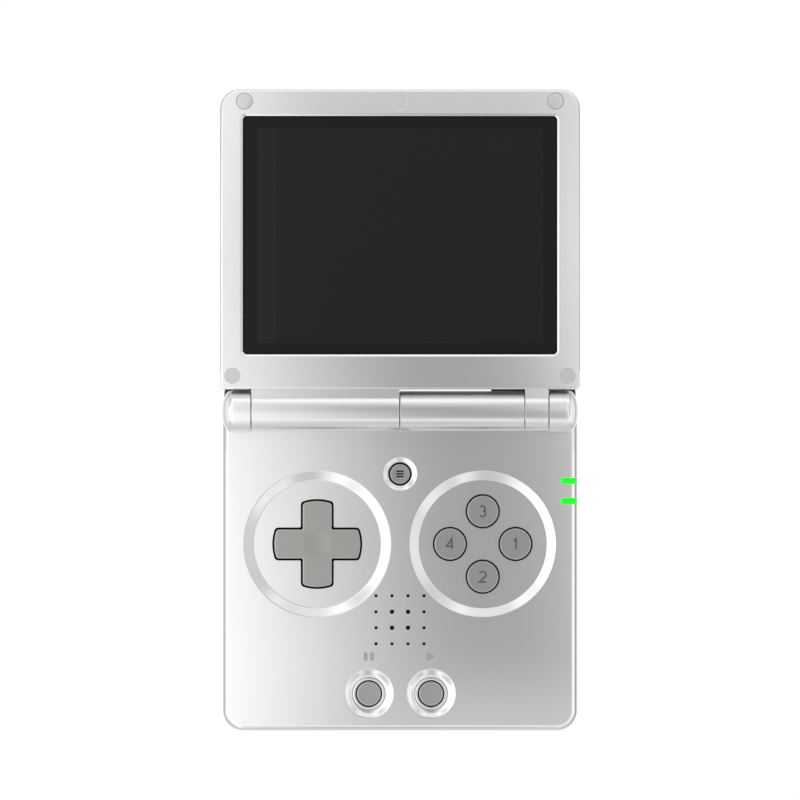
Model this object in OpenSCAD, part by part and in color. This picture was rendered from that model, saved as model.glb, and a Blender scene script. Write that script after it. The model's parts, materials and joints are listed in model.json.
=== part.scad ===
// Clamshell handheld LCD game, lying open and flat on its back.
// X is to the player's right, Y runs from the front edge to the far edge of the lid, Z is up.
// The origin is on the table, straight under the middle of the hinge axis.

/* [Base] */
// Width of the base
base_w = 87.6; // [87.4:0.1:87.8]
// Distance from the hinge axis to the front edge of the base
reach = 79; // [78.8:0.1:79.2]
// Height of the playing face above the table
face_z = 16.5; // [16.4:0.1:16.6]
// Height of the seam between the front and rear shells
seam_z = 8.6; // [8.5:0.1:8.7]
// Thickness of the shell walls of the base
wall = 1.6; // [1.4:0.1:1.7]
// Radius of the front corners of the base, seen from above
base_corner = 4.9; // [4.6:0.1:5.2]
// Radius along the top edge of the base
top_edge = 1.4; // [1.2:0.1:1.5]
// Radius along the bottom edge of the base
bottom_edge = 3; // [2.6:0.1:3.2]
// Height of the rubber feet under the base
foot_h = 0.5; // [0.4:0.1:0.6]

/* [Lid] */
// Width of the lid
lid_w = 89; // [88.6:0.1:89.4]
// Distance from the hinge axis to the near edge of the lid
lid_near = 5.7; // [5.6:0.05:5.8]
// Distance from the hinge axis to the far edge of the lid
lid_far = 79.6; // [79.4:0.1:79.8]
// Thickness of the lid
lid_t = 9.9; // [9.7:0.1:10]
// Gap between the closed lid and the playing face
closed_gap = 0.5; // [0.4:0.05:0.6]
// Radius of the far corners of the lid
lid_corner = 4.7; // [4.4:0.1:5]
// Thickness of the lid walls
lid_wall = 1.2; // [1.1:0.1:1.3]

/* [Hinge] */
// Height of the hinge axis above the playing face
axis_rise = 4.25; // [4.2:0.05:4.3]
// Radius of the hinge barrels
barrel_r = 5.15; // [5.1:0.05:5.2]

/* [Screen] */
// Width of the cover glass
glass_w = 77.6; // [77.2:0.1:77.8]
// Height of the cover glass
glass_h = 58.8; // [58.4:0.1:59]
// Width of the picture area
picture_w = 70.6; // [70:0.1:71]
// Distance from the hinge axis to the middle of the cover glass
glass_y = 43.55; // [43.4:0.05:43.7]

/* [Controls] */
// Distance from the middle line to the middle of each control dish
dish_x = 20.48; // [20.3:0.02:20.6]
// Distance from the hinge axis to the middle of both control dishes
dish_y = 32.85; // [32.7:0.05:33]
// Outer radius of the control dishes
dish_r = 18.15; // [18:0.05:18.3]
// Depth of the control dishes
dish_depth = 1.3; // [1.2:0.05:1.4]
// Distance from the middle of the dish to each action button
action_pitch = 8.1; // [8:0.05:8.2]
// Radius of the action buttons
action_r = 3.95; // [3.9:0.05:4]
// Half length of the direction pad's arms
pad_reach = 10.7; // [10.6:0.05:10.75]
// Width of the direction pad's arms
pad_arm = 7.3; // [7.2:0.05:7.4]
// Distance from the middle line to each option button
option_x = 7.7; // [7.6:0.05:7.9]
// Distance from the hinge axis to the option buttons
option_y = 69.9; // [69.7:0.1:70]
// Distance from the hinge axis to the menu button
menu_y = 15.5; // [15.3:0.1:15.7]

/* [Hidden] */
$fn = 96;

SILVER = [0.80, 0.81, 0.82];
BUTTON_GREY = [0.64, 0.64, 0.62];
ACTION_GREY = [0.59, 0.59, 0.59];
DARK_GREY = [0.17, 0.17, 0.18];
STEEL = [0.70, 0.71, 0.73];
BOARD_GREEN = [0.07, 0.27, 0.15];
SILICONE = [0.78, 0.80, 0.80];
FLEX = [0.75, 0.45, 0.10];

// Heights and outlines of the base
base_x = base_w / 2;
rear_y = 5;
rear_corner = 3.5;
ceiling_z = face_z - wall;
floor_z = foot_h + wall;
dish_floor = face_z - dish_depth;
pad_z = dish_floor - 1.4;
dish_flat_r = dish_r - 2.3;
board_z = 9.4;
board_t = 1;
board_top = board_z + board_t;

// The hinge
axis_z = face_z + axis_rise;
trough_r = barrel_r + 0.25;
cap_r = barrel_r + 0.1;
cap_in = 36.95;
cap_out = 44;
cap_round = 2.3;
post_r = 4.1;
fixed_knuckle = [0.1, 30.7];
long_knuckle = [-36.6, -0.2];
short_knuckle = [31, 36.6];
clutch_r = 3.7;
clutch_x = [13, 30.6];
bush_r = 3;
pivot_r = 2;
cam_r = 2;
running = 0.05;

// Heights of the open lid: its inner face is up
lid_x = lid_w / 2;
lid_top = 2 * axis_z - face_z - closed_gap;
lid_bottom = lid_top - lid_t;
lid_seam = lid_top - 3.6;
lid_plate = 2;
lid_near_corner = 1.3;
lid_edge = 0.7;
lid_back_edge = 3;
glass_t = 1;
glass_top = lid_top - 0.3;
glass_corner = 1;
glass_chamfer_w = 0.6;
glass_chamfer_h = lid_top - glass_top;
picture_h = picture_w * 3 / 4;
lcd_top = lid_top - lid_plate - 0.5;
backlight_low = lcd_top - 3;
lid_screw_points = [[38.45, 76.7], [-38.45, 76.7], [41.45, 8.8], [-41.45, 8.8]];

// Controls
action_hole_r = action_r + 0.25;
menu_button_r = 2.6;
menu_hole_r = 2.95;
menu_dish_r = 4.25;
option_button_r = 3.15;
option_ring_r = 4;
option_dish_r = 6.12;
pad_clearance = 0.4;
pad_top = face_z - 0.1;
dimple_depth = 0.7;
dimple_r = 9.1;
ball_r = 1.6;
ball_z = board_top + ball_r;
speaker_y = -51.6;
speaker_pitch = 3.96;
action_points = [for (a = [0, 90, 180, 270]) action_pitch * [cos(a), sin(a)]];

// Places of the case screws, the shoulder buttons and the side controls
case_screw_points = [for (x = [-38.2, 38.2], y = [-74.5, -50.5, -6]) [x, y]];
foot_points = [for (x = [-33, 33], y = [-70, -2.8]) [x, y]];
door_x = 31;
door_y = [-60, -14];
door_t = 1.2;
door_tab_y = -62.5;
ledge_z = foot_h + door_t;
shoulder_y = [1.55, 6.4];
shoulder_z = [4, 13.7];
shoulder_x = 43.5;
shoulder_pivot = [2.6, 5.4];
shoulder_pin_r = 0.6;
shoulder_split = 32.9;
notch_x = 22.3;
notch_y = 0.8;
jack_x = -24;
jack_z = 5.85;
jack_r = 1.8;
jack_depth = 12;
card_y = [-66.5, -55.5];
card_z = [10.9, 11.7];
light_y = [-17.2, -22.2];
light_x = 39.9;
light_w = 1.5;
light_low = 12.6;
power_y = [-40, -31];
reset_y = -45.4;
rocker_y = [-31, -13];
side_z = [10.7, 13.5];
side_mid_z = (side_z[0] + side_z[1]) / 2;
rocker_mid = (rocker_y[0] + rocker_y[1]) / 2;
rocker_pin_x = 2.75 - base_x;
inner_x = base_x - wall;
usb_x = 0;
video_x = -12.4;

// ---- shared shapes ----

// A flat outline with rounded corners, from y0 to y1 and x to either side
module plan(x, y0, y1, r_near, r_far) {
    translate([-x, y0 + r_near]) square([2 * x, y1 - r_far - y0 - r_near]);
    translate([r_near - x, y0]) square([2 * (x - r_near), r_near]);
    translate([r_far - x, y1 - r_far]) square([2 * (x - r_far), r_far]);
    for (s = [-1, 1]) {
        translate([s * (x - r_near), y0 + r_near]) circle(r_near);
        translate([s * (x - r_far), y1 - r_far]) circle(r_far);
    }
}

// A section from the middle out to d, with its outer corners rounded by low and high
module edge_section(d, z0, z1, low, high) {
    difference() {
        translate([0, z0]) square([d, z1 - z0]);
        if (high > 0) translate([d - high, z1 - high]) difference() {
            square(high + 1);
            circle(high);
        }
        if (low > 0) translate([d - low, z0 + low]) mirror([0, 1]) difference() {
            square(low + 1);
            circle(low);
        }
    }
}

// A slab on a rounded plan whose bottom and top edges are rounded by low and high
module slab(x, y0, y1, z0, z1, r_near, r_far, low, high) {
    translate([0, y1 - r_far, 0]) rotate([90, 0, 0])
        linear_extrude(y1 - r_far - y0 - r_near) for (m = [0, 1])
            mirror([m, 0]) edge_section(x, z0, z1, low, high);
    translate([r_far - x, y1 - r_far, 0]) rotate([90, 0, 90])
        linear_extrude(2 * (x - r_far)) edge_section(r_far, z0, z1, low, high);
    translate([r_near - x, y0 + r_near, 0]) mirror([0, 1, 0]) rotate([90, 0, 90])
        linear_extrude(2 * (x - r_near)) edge_section(r_near, z0, z1, low, high);
    for (s = [-1, 1]) {
        translate([s * (x - r_near), y0 + r_near, 0])
            rotate_extrude() edge_section(r_near, z0, z1, low, high);
        translate([s * (x - r_far), y1 - r_far, 0])
            rotate_extrude() edge_section(r_far, z0, z1, low, high);
    }
}

// A box given by its lowest and highest corners
module block(low, high) {
    translate(low) cube(high - low);
}

// A round bar along the hinge axis, or along X through [y, z]
module bar_x(x0, x1, r, at = [0, axis_z]) {
    translate([x0, at[0], at[1]]) rotate([0, 90, 0]) cylinder(r = r, h = x1 - x0);
}

// A round post between two heights
module post(p, r, z0, z1) {
    translate([p[0], p[1], z0]) cylinder(r = r, h = z1 - z0);
}

// The same for both sides of the middle line
module both_sides() {
    children();
    mirror([1, 0, 0]) children();
}

// The direction pad's outline, whose ends are arcs about its middle
module cross(arm, r, grow = 0) {
    intersection() {
        circle(r + grow);
        union() {
            square([2 * r + 4, arm + 2 * grow], center = true);
            square([arm + 2 * grow, 2 * r + 4], center = true);
        }
    }
}

// A rubber dome with its hollow underside
module dome(p, r, z0, z1) {
    difference() {
        translate([p[0], p[1], z0]) cylinder(r1 = r, r2 = r * 0.7, h = z1 - z0);
        translate([p[0], p[1], z0 - 0.01]) cylinder(r1 = r * 0.8, r2 = r * 0.45, h = (z1 - z0) * 0.7);
    }
}

// A push button: a cap over a wider flange that keeps it under the face
module push_button(p, cap, flange, flange_z, top) {
    post(p, flange, flange_z[0], flange_z[1]);
    post(p, cap, flange_z[1] - 0.2, top - 0.4);
    translate([p[0], p[1], top - 0.4]) cylinder(r1 = cap, r2 = cap - 0.4, h = 0.4);
}

// A pan head screw standing on its head at z0, with its cross recess
module pan_screw(p, head_r, head_h, shank_r, z0, z1) {
    difference() {
        union() {
            post(p, head_r, z0, z0 + head_h);
            post(p, shank_r, z0 + head_h - 0.1, z1);
        }
        for (a = [0, 90]) translate([p[0], p[1], z0]) rotate([0, 0, a])
            cube([head_r * 1.2, head_r * 0.3, head_h], center = true);
    }
}

// ---- base shells ----

// Openings that both shells share at the rear corners and along the sides
module shell_openings() {
    both_sides() block([notch_x, notch_y, shoulder_z[0] - 0.2], [base_x + 1, rear_y + 2, 14.1]);
    both_sides() translate([38, card_y[0] - 0.4, card_z[0] - 0.3])
        cube([8, card_y[1] - card_y[0] + 0.8, card_z[1] - card_z[0] + 0.6]);
}

module control_cuts() {
    for (s = [-1, 1]) translate([s * dish_x, -dish_y, dish_floor])
        cylinder(r1 = dish_flat_r, r2 = dish_r, h = dish_depth + 0.001);
    for (p = action_points) post([dish_x + p[0], p[1] - dish_y], action_hole_r, pad_z - 1, face_z);
    translate([-dish_x, -dish_y, pad_z - 1]) linear_extrude(4) cross(pad_arm, pad_reach, pad_clearance);
    post([0, -menu_y], menu_hole_r, pad_z - 1, face_z);
    translate([0, -menu_y, face_z - 0.9])
        cylinder(r1 = menu_hole_r + 0.15, r2 = menu_dish_r, h = 0.901);
    for (s = [-1, 1]) {
        post([s * option_x, -option_y], option_ring_r + 0.1, pad_z - 1, face_z);
        translate([s * option_x, -option_y, face_z - 1])
            cylinder(r1 = option_ring_r + 0.25, r2 = option_dish_r, h = 1.001);
    }
    for (i = [-1.5:1.5], j = [-1.5:1.5])
        post([i, j] * speaker_pitch + [0, speaker_y], abs(i) + abs(j) < 1.5 ? 0.55 : 0.4,
            ceiling_z - 1, face_z + 1);
    // Shallow marks over the option buttons: two bars, and an arrow
    for (dx = [-0.8, 0.8]) translate([dx - option_x, -60.7, face_z])
        cube([0.8, 1.9, 0.3], center = true);
    translate([option_x - 0.2, -60.7, face_z - 0.15]) linear_extrude(1)
        polygon([[-0.8, -1], [1.1, 0], [-0.8, 1]]);
}

module hinge_cuts() {
    // Troughs that the lid's barrels turn in, and bores for the bush, the ribbon and the clutch
    bar_x(-cap_in, fixed_knuckle[0], trough_r);
    bar_x(fixed_knuckle[1], cap_in, trough_r);
    bar_x(fixed_knuckle[0] - 1, clutch_x[0] + 0.5, bush_r);
    bar_x(clutch_x[0], fixed_knuckle[1] + 1, clutch_r);
    block([6.5, -0.6, 13], [12.5, 0.6, axis_z]);
    bar_x(-42, -cap_in + 1, pivot_r);
}

module side_cuts() {
    for (y = light_y) block([light_x, y - light_w / 2, light_low], [base_x + 1, y + light_w / 2, face_z + 1]);
    block([base_x - 3, power_y[0] - 0.2, side_z[0] - 0.2], [base_x + 1, power_y[1] + 0.2, side_z[1] + 0.2]);
    bar_x(base_x - 3, base_x + 1, 1.4, [reset_y, side_mid_z]);
    block([-base_x - 1, rocker_y[0] - 0.3, side_z[0] - 0.2], [3 - base_x, rocker_y[1] + 0.3, side_z[1] + 0.2]);
}

module port_cuts() {
    for (port = [[usb_x, 4.7], [video_x, 5.8]])
        block([port[0] - port[1], 2, board_top - 0.1], [port[0] + port[1], rear_y + 1, 13.8]);
}

module base_front_shell() {
    color(SILVER) difference() {
        union() {
            difference() {
                slab(base_x, -reach, rear_y, seam_z, face_z, base_corner, rear_corner, 0, top_edge);
                translate([0, 0, seam_z - 1]) linear_extrude(ceiling_z - seam_z + 1)
                    plan(inner_x, wall - reach, rear_y - wall, base_corner - wall, rear_corner - wall);
            }
            for (s = [-1, 1]) {
                post([s * dish_x, -dish_y], dish_r + 0.5, pad_z, face_z - 0.5);
                post([s * option_x, -option_y], option_dish_r + 0.6, pad_z, face_z - 0.5);
            }
            post([0, -menu_y], menu_dish_r + 0.8, pad_z, face_z - 0.5);
            for (p = case_screw_points) post(p, 2.4, seam_z, ceiling_z + 0.3);
            block([-37, -4, pad_z + 0.1], [37, rear_y - 1, ceiling_z + 0.3]);
            bar_x(fixed_knuckle[0], fixed_knuckle[1], barrel_r);
            both_sides() {
                bar_x(cap_in, cap_out - 1.4, post_r);
                block([cap_in, -2.4, ceiling_z], [cap_out - 1.4, 2.4, axis_z]);
            }
        }
        control_cuts();
        hinge_cuts();
        side_cuts();
        port_cuts();
        shell_openings();
        for (p = case_screw_points) post(p, 0.85, seam_z - 1, 14);
    }
}

// The walls that carry the shoulder buttons' pins
module shoulder_ribs() {
    difference() {
        for (x = [notch_x - 0.9, shoulder_split - 0.4, inner_x - 0.9])
            block([x, notch_y + 0.4, floor_z - 0.2], [x + 0.8, 4.1, 6.7]);
        bar_x(notch_x - 2, inner_x + 0.5, shoulder_pin_r, shoulder_pivot);
    }
}

module base_rear_shell() {
    color(SILVER) {
        difference() {
            union() {
                difference() {
                    slab(base_x, -reach, rear_y, foot_h, seam_z, base_corner, rear_corner, bottom_edge, 0);
                    translate([0, 0, floor_z]) linear_extrude(seam_z)
                        plan(inner_x, wall - reach, rear_y - wall, base_corner - wall, rear_corner - wall);
                }
                for (p = case_screw_points) post(p, 2.6, foot_h + 1, seam_z);
                block([-door_x - 2, door_y[0] - 2, foot_h + 0.5], [door_x + 2, door_y[1] + 2, ledge_z + 1.2]);
                post([0, door_tab_y], 3.4, foot_h + 0.5, ledge_z + 4.5);
                both_sides() block([29.2, -58, floor_z], [30, -17, board_z]);
            }
            block([-29, door_y[0] + 1.4, 0], [29, door_y[1] - 1.4, 8]);
            block([-door_x - 0.1, door_y[0] - 0.1, 0], [door_x + 0.1, door_y[1] + 0.1, ledge_z]);
            post([0, door_tab_y], 3.1, 0, ledge_z);
            block([-3.1, door_tab_y, 0], [3.1, door_y[0], ledge_z]);
            post([0, door_tab_y], 0.75, 0, ledge_z + 4);
            for (p = case_screw_points) {
                post(p, 2.1, 0, 4);
                post(p, 1.1, 3, seam_z + 1);
            }
            for (p = foot_points) post(p, 3.1, 0, foot_h + 0.3);
            shell_openings();
            translate([jack_x, 1 - reach + wall, jack_z]) rotate([90, 0, 0]) cylinder(r = 2.6, h = 8);
        }
        both_sides() shoulder_ribs();
    }
}

module battery_door() {
    color(SILVER) difference() {
        union() {
            block([-door_x, door_y[0], foot_h], [door_x, door_y[1], ledge_z]);
            post([0, door_tab_y], 3, foot_h, ledge_z);
            block([-3, door_tab_y, foot_h], [3, door_y[0] + 1, ledge_z]);
        }
        post([0, door_tab_y], 1, 0, ledge_z + 1);
        post([0, door_tab_y], 1.7, 0, foot_h + 0.8);
        // Grip lines for the thumb
        for (i = [0:4]) block([-9, -24 + 1.6 * i, 0], [9, -23.3 + 1.6 * i, foot_h + 0.3]);
    }
}

module battery_door_screw() {
    color(STEEL) pan_screw([0, door_tab_y], 1.6, 0.7, 0.7, foot_h + 0.1, ledge_z + 3.6);
}

module rear_case_screws() {
    color(STEEL) for (p = case_screw_points) pan_screw(p, 1.9, 1.4, 0.8, 2.6, 13.6);
}

module rubber_feet() {
    color(DARK_GREY) for (p = foot_points) {
        translate([p[0], p[1], 0]) cylinder(r1 = 2.7, r2 = 3, h = 0.3);
        post(p, 3, 0.3, foot_h + 0.3);
    }
}

// ---- inside the base ----

module battery_pack() {
    color([0.20, 0.22, 0.26]) block([-28, -58, ledge_z + 0.15], [28, -16.5, 8.1]);
    color([0.85, 0.68, 0.15]) block([-20, -16.5, 3.5], [20, -15.6, 7.4]);
}

module battery_lead() {
    for (i = [0, 1]) color(i == 0 ? [0.7, 0.1, 0.1] : [0.08, 0.08, 0.08]) {
        bar_x(12, 30.7 - 1.2 * i, 0.5, [-15.1, 4.4 + 1.4 * i]);
        post([30.2 + 1.2 * i, -15.1], 0.5, 4.4, board_z - 1);
    }
    color([0.9, 0.9, 0.86]) block([29, -16.4, board_z - 1.2], [32.6, -13.8, board_z]);
}

module main_board() {
    color(BOARD_GREEN) difference() {
        union() {
            block([-41.2, -76.6, board_z], [41.2, 0.3, board_top]);
            block([-21.5, 0, board_z], [21.5, 3, board_top]);
        }
        for (p = case_screw_points) post(p, 2.7, 0, 20);
        both_sides() for (y = [-78, -1.5]) block([37.5, y, 0], [42, y + 3.5, 20]);
    }
    // Small parts on the top side, in two tidy rows
    color([0.1, 0.1, 0.1]) for (i = [0:5]) {
        block([-7 + 2.5 * i, -23.5, board_top], [-5.4 + 2.5 * i, -22.3, board_top + 0.8]);
        block([-34 + 3 * i, -71, board_top], [-32.2 + 3 * i, -69.4, board_top + 0.9]);
    }
}

module processor_shield() {
    color(STEEL) difference() {
        block([-6.8, -40.5, board_top], [6.8, -25, board_top + 1.8]);
        block([-6.5, -40.2, board_top - 1], [6.5, -25.3, board_top + 1.5]);
    }
}

module dpad_membrane() {
    color(SILICONE) translate([-dish_x, -dish_y, 0]) {
        difference() {
            post([0, 0], 12.6, board_top, board_top + 0.5);
            post([0, 0], 2.4, 0, 20);
            for (a = [0:90:270]) post(8 * [cos(a), sin(a)], 2, 0, 20);
        }
        for (a = [0:90:270]) dome(8 * [cos(a), sin(a)], 2.8, board_top + 0.5, board_top + 1.5);
    }
}

module action_membrane() {
    color(SILICONE) translate([dish_x, -dish_y, 0]) {
        difference() {
            post([0, 0], 13, board_top, board_top + 0.6);
            for (p = action_points) post(p, 2.6, 0, 20);
        }
        for (p = action_points) dome(p, 3.6, board_top + 0.6, board_top + 2.5);
    }
}

module menu_membrane() {
    color(SILICONE) {
        difference() {
            post([0, -menu_y], 5, board_top, board_top + 0.6);
            post([0, -menu_y], 2, 0, 20);
        }
        dome([0, -menu_y], 2.8, board_top + 0.6, board_top + 2.5);
    }
}

module option_membrane() {
    color(SILICONE) {
        difference() {
            translate([0, -option_y, board_top]) linear_extrude(0.6) plan(14, -5, 5, 3, 3);
            for (s = [-1, 1]) post([s * option_x, -option_y], 2.2, 0, 20);
        }
        for (s = [-1, 1]) dome([s * option_x, -option_y], 3, board_top + 0.6, board_top + 1.8);
    }
}

module speaker() {
    color([0.25, 0.25, 0.26]) difference() {
        post([0, speaker_y], 8.6, board_top + 0.2, ceiling_z - 0.3);
        post([0, speaker_y], 7.6, ceiling_z - 0.8, 20);
    }
    color([0.12, 0.12, 0.12]) translate([0, speaker_y, ceiling_z - 0.8])
        cylinder(r1 = 6, r2 = 3, h = 0.4);
}

module speaker_mesh() {
    color([0.05, 0.05, 0.05]) post([0, speaker_y], 8.6, ceiling_z - 0.3, ceiling_z);
}

module vibration_motor() {
    color(STEEL) {
        post([32, -72], 4, board_top, board_top + 2.4);
        post([32, -72], 3, board_top + 2.4, board_top + 2.7);
    }
}

// A rounded socket shell seen from its mouth at +Y, with the tongue that a plug slides over
module port_socket(x, w, h, tongue_w, tongue_h) {
    z = board_top + h / 2;
    r = h / 2 - 0.05;
    difference() {
        translate([x, 4.9, z]) rotate([90, 0, 0]) linear_extrude(7.4) plan(w / 2, -h / 2, h / 2, r, r);
        translate([x, 6, z]) rotate([90, 0, 0]) linear_extrude(7.4)
            plan(w / 2 - 0.3, 0.3 - h / 2, h / 2 - 0.3, r - 0.3, r - 0.3);
    }
    block([x - tongue_w / 2, -2.3, z - tongue_h / 2], [x + tongue_w / 2, 4, z + tongue_h / 2]);
}

module usb_socket() {
    color(STEEL) port_socket(usb_x, 8.94, 3.2, 6.7, 0.7);
}

module video_socket() {
    color(STEEL) port_socket(video_x, 11.2, 3.2, 7.6, 0.6);
}

module headphone_socket() {
    color(DARK_GREY) difference() {
        union() {
            block([jack_x - 3.2, 0.1 - reach + wall, floor_z + 0.1], [jack_x + 3.2, 14.2 - reach, seam_z - 0.1]);
            translate([jack_x, 1 - reach + wall, jack_z]) rotate([90, 0, 0])
                cylinder(r = 2.5, h = wall + 0.6);
        }
        translate([jack_x, 0.4 + jack_depth - reach, jack_z]) rotate([90, 0, 0])
            cylinder(r = jack_r, h = jack_depth + 5);
    }
}

module card_sockets() {
    color(STEEL) both_sides() difference() {
        block([27.6, card_y[0] - 1, board_top], [41.5, card_y[1] + 1, card_z[1] + 0.5]);
        block([28.2, card_y[0] - 0.1, card_z[0] - 0.1], [50, card_y[1] + 0.1, card_z[1] + 0.1]);
    }
}

module memory_card() {
    color([0.06, 0.06, 0.07]) {
        block([28.4, card_y[0], card_z[0]], [40, card_y[1] - 1.6, card_z[1]]);
        block([33, card_y[0], card_z[0]], [43.2, card_y[1], card_z[1]]);
    }
}

module status_light_pipes() {
    color([0.2, 1, 0.2]) for (y = light_y) difference() {
        intersection() {
            slab(base_x, -reach, rear_y, seam_z, face_z, base_corner, rear_corner, 0, top_edge);
            block([light_x, y - light_w / 2, light_low], [base_x + 1, y + light_w / 2, face_z + 1]);
        }
        block([light_x - 1, y - 2, 0], [base_x - wall, y + 2, ceiling_z]);
    }
}

module shoulder_switches() {
    color(DARK_GREY) both_sides() for (x = [26, 36]) {
        block([x - 2, -2.6, board_top], [x + 2, 0.2, board_top + 2]);
        block([x - 0.8, 0.2, board_top + 0.5], [x + 0.8, 0.6, board_top + 1.5]);
    }
}

module side_switches() {
    color(DARK_GREY) {
        block([36.6, -37.5, board_top], [38.4, -33.5, board_top + 2.4]);
        block([36.6, reset_y - 1.4, board_top], [38.4, reset_y + 1.4, board_top + 2.4]);
        for (s = [-1, 1]) block([-38.6, rocker_mid + 6 * s - 1.8, board_top],
            [-36.8, rocker_mid + 6 * s + 1.8, board_top + 2.4]);
    }
}

// Steel pins that the shoulder buttons and the volume rocker turn on
module control_pins() {
    color(STEEL) {
        both_sides() bar_x(notch_x - 1.2, inner_x + 0.4, shoulder_pin_r, shoulder_pivot);
        post([rocker_pin_x, rocker_mid], 0.5, board_top, ceiling_z);
    }
}

// ---- hinge ----

module hinge_cap() {
    color(SILVER) difference() {
        translate([cap_in, 0, axis_z]) rotate([0, 90, 0]) difference() {
            union() {
                cylinder(r = cap_r, h = 4.9);
                rotate_extrude() edge_section(cap_r, 1, cap_out - cap_in - 0.15, 0, cap_round);
                translate([0, 0, cap_out - cap_in - 0.16]) cylinder(r1 = cap_r - cap_round, r2 = 1.5, h = 0.16);
            }
            translate([0, 0, -1]) cylinder(r = post_r + running, h = cap_out - cap_in - 0.35);
        }
        block([0, -9, 0], [60, 9, face_z]);
        block([0, -2.45, 0], [cap_out - 1.35, 2.45, axis_z]);
    }
}

module right_hinge_cap() {
    hinge_cap();
}

module left_hinge_cap() {
    mirror([1, 0, 0]) hinge_cap();
}

module hinge_clutch() {
    color(STEEL) difference() {
        bar_x(clutch_x[0], clutch_x[1], clutch_r);
        bar_x(20, 40, cam_r + running);
    }
}

module hinge_cam() {
    color(STEEL) {
        bar_x(20.5, 31, cam_r);
        translate([31, 0, axis_z]) rotate([0, 90, 0]) cylinder(r = 2.4, h = 5.2, $fn = 6);
    }
}

module hinge_bush() {
    color(DARK_GREY) difference() {
        bar_x(-4.2, 6, bush_r);
        bar_x(-5, 7, bush_r - 0.8);
    }
}

module hinge_pivot_pin() {
    color(STEEL) bar_x(-41.9, -33.4, pivot_r);
}

// The display ribbon is coiled inside both barrels; each half goes with its own side
module ribbon_base_tail() {
    color(FLEX) {
        block([6.8, -0.15, board_top], [12.2, 0.15, axis_z - 1]);
        bar_x(6.8, 12.2, 1.6);
    }
}

module ribbon_lid_tail() {
    color(FLEX) {
        bar_x(-23, -17, 2);
        block([-23, 1, lid_seam + 0.2], [-17, 12.8, lid_seam + 0.45]);
    }
}

// ---- controls ----

module option_button_rings() {
    color(SILVER) for (s = [-1, 1]) difference() {
        union() {
            post([s * option_x, -option_y], option_ring_r, pad_z - 0.6, face_z - 0.6);
            post([s * option_x, -option_y], option_ring_r + 1.2, pad_z - 0.6, pad_z);
        }
        post([s * option_x, -option_y], option_button_r + 0.15, 0, 20);
    }
}

module dpad_ball() {
    color(STEEL) translate([-dish_x, -dish_y, ball_z]) sphere(r = ball_r);
}

module dpad() {
    color(BUTTON_GREY) translate([-dish_x, -dish_y, 0]) difference() {
        union() {
            post([0, 0], 11.5, board_top + 1.5, board_top + 2.3);
            translate([0, 0, board_top + 1.5]) linear_extrude(pad_top - board_top - 1.5)
                cross(pad_arm, pad_reach);
        }
        translate([0, 0, ball_z]) sphere(r = ball_r + running);
        translate([0, 0, ball_z - 3]) cylinder(r = ball_r + running, h = 3);
        // Thumb dimple
        translate([0, 0, pad_top + dimple_r - dimple_depth]) sphere(r = dimple_r);
    }
}

module action_button(i) {
    p = [dish_x, -dish_y] + action_points[i];
    color(ACTION_GREY) push_button(p, action_r, 4.7, [board_top + 2.5, pad_z - 0.05], face_z + 0.2);
}

module option_button(s) {
    color(BUTTON_GREY)
        push_button([s * option_x, -option_y], option_button_r, 4.6, [board_top + 1.8, pad_z - 0.65], face_z - 0.3);
}

module menu_button() {
    color(BUTTON_GREY) push_button([0, -menu_y], menu_button_r, 3.5, [board_top + 2.5, pad_z - 0.05], face_z - 0.1);
}

module power_button() {
    color(DARK_GREY) {
        block([inner_x - 0.5, power_y[0], side_z[0]], [base_x, power_y[1], side_z[1]]);
        block([inner_x - 0.65, power_y[0] - 0.8, side_z[0]], [inner_x - 0.05, power_y[1] + 0.8, side_z[1]]);
        block([39.1, -36.5, side_mid_z - 0.8], [inner_x - 0.6, -34.5, side_mid_z + 0.8]);
    }
}

module reset_button() {
    color(DARK_GREY) {
        bar_x(inner_x - 0.1, base_x - 0.4, 1.2, [reset_y, side_mid_z]);
        bar_x(inner_x - 0.65, inner_x - 0.05, 1.55, [reset_y, side_mid_z]);
        bar_x(39, inner_x - 0.6, 0.6, [reset_y, side_mid_z]);
    }
}

module volume_rocker() {
    color(DARK_GREY) difference() {
        union() {
            block([-base_x, rocker_y[0], side_z[0]], [rocker_pin_x + 0.8, rocker_y[1], side_z[1]]);
            for (s = [-1, 1]) block([rocker_pin_x + 0.7, rocker_mid + 6 * s - 0.8, side_mid_z - 0.6],
                [-39.05, rocker_mid + 6 * s + 0.8, side_mid_z + 0.6]);
        }
        post([rocker_pin_x, rocker_mid], 0.5 + running, 0, 20);
        // A shallow dip between the two ends
        translate([-base_x - 24.7, rocker_mid, 0]) cylinder(r = 25, h = 20);
    }
}

// A shoulder button between two distances from the middle line, on the right side
module shoulder_button(x0, x1, switch_x) {
    color(DARK_GREY) difference() {
        union() {
            difference() {
                intersection() {
                    slab(shoulder_x, -20, shoulder_y[1], shoulder_z[0], shoulder_z[1], 2, 1.8, 1.2, 1.2);
                    block([x0, shoulder_y[0], 0], [x1, 10, 20]);
                }
                block([x0 + 1.2, 0, shoulder_z[0] + 1.2], [min(x1 - 1.2, 40.2), 4.9, shoulder_z[1] - 1.2]);
            }
            intersection() {
                bar_x(x0, x1, 1.35, shoulder_pivot);
                block([x0, 0, shoulder_z[0]], [min(x1, inner_x + 0.9), 10, 20]);
            }
            block([switch_x - 0.9, 1.2, board_top + 0.5], [switch_x + 0.9, 5, board_top + 1.6]);
        }
        bar_x(0, 60, shoulder_pin_r + running, shoulder_pivot);
        block([shoulder_split - 0.7, 0, 0], [shoulder_split + 0.7, 4.6, 7.2]);
        block([inner_x - 1.2, 0, 0], [inner_x + 0.4, 4.6, 7.2]);
    }
}

// ---- lid ----

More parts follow.
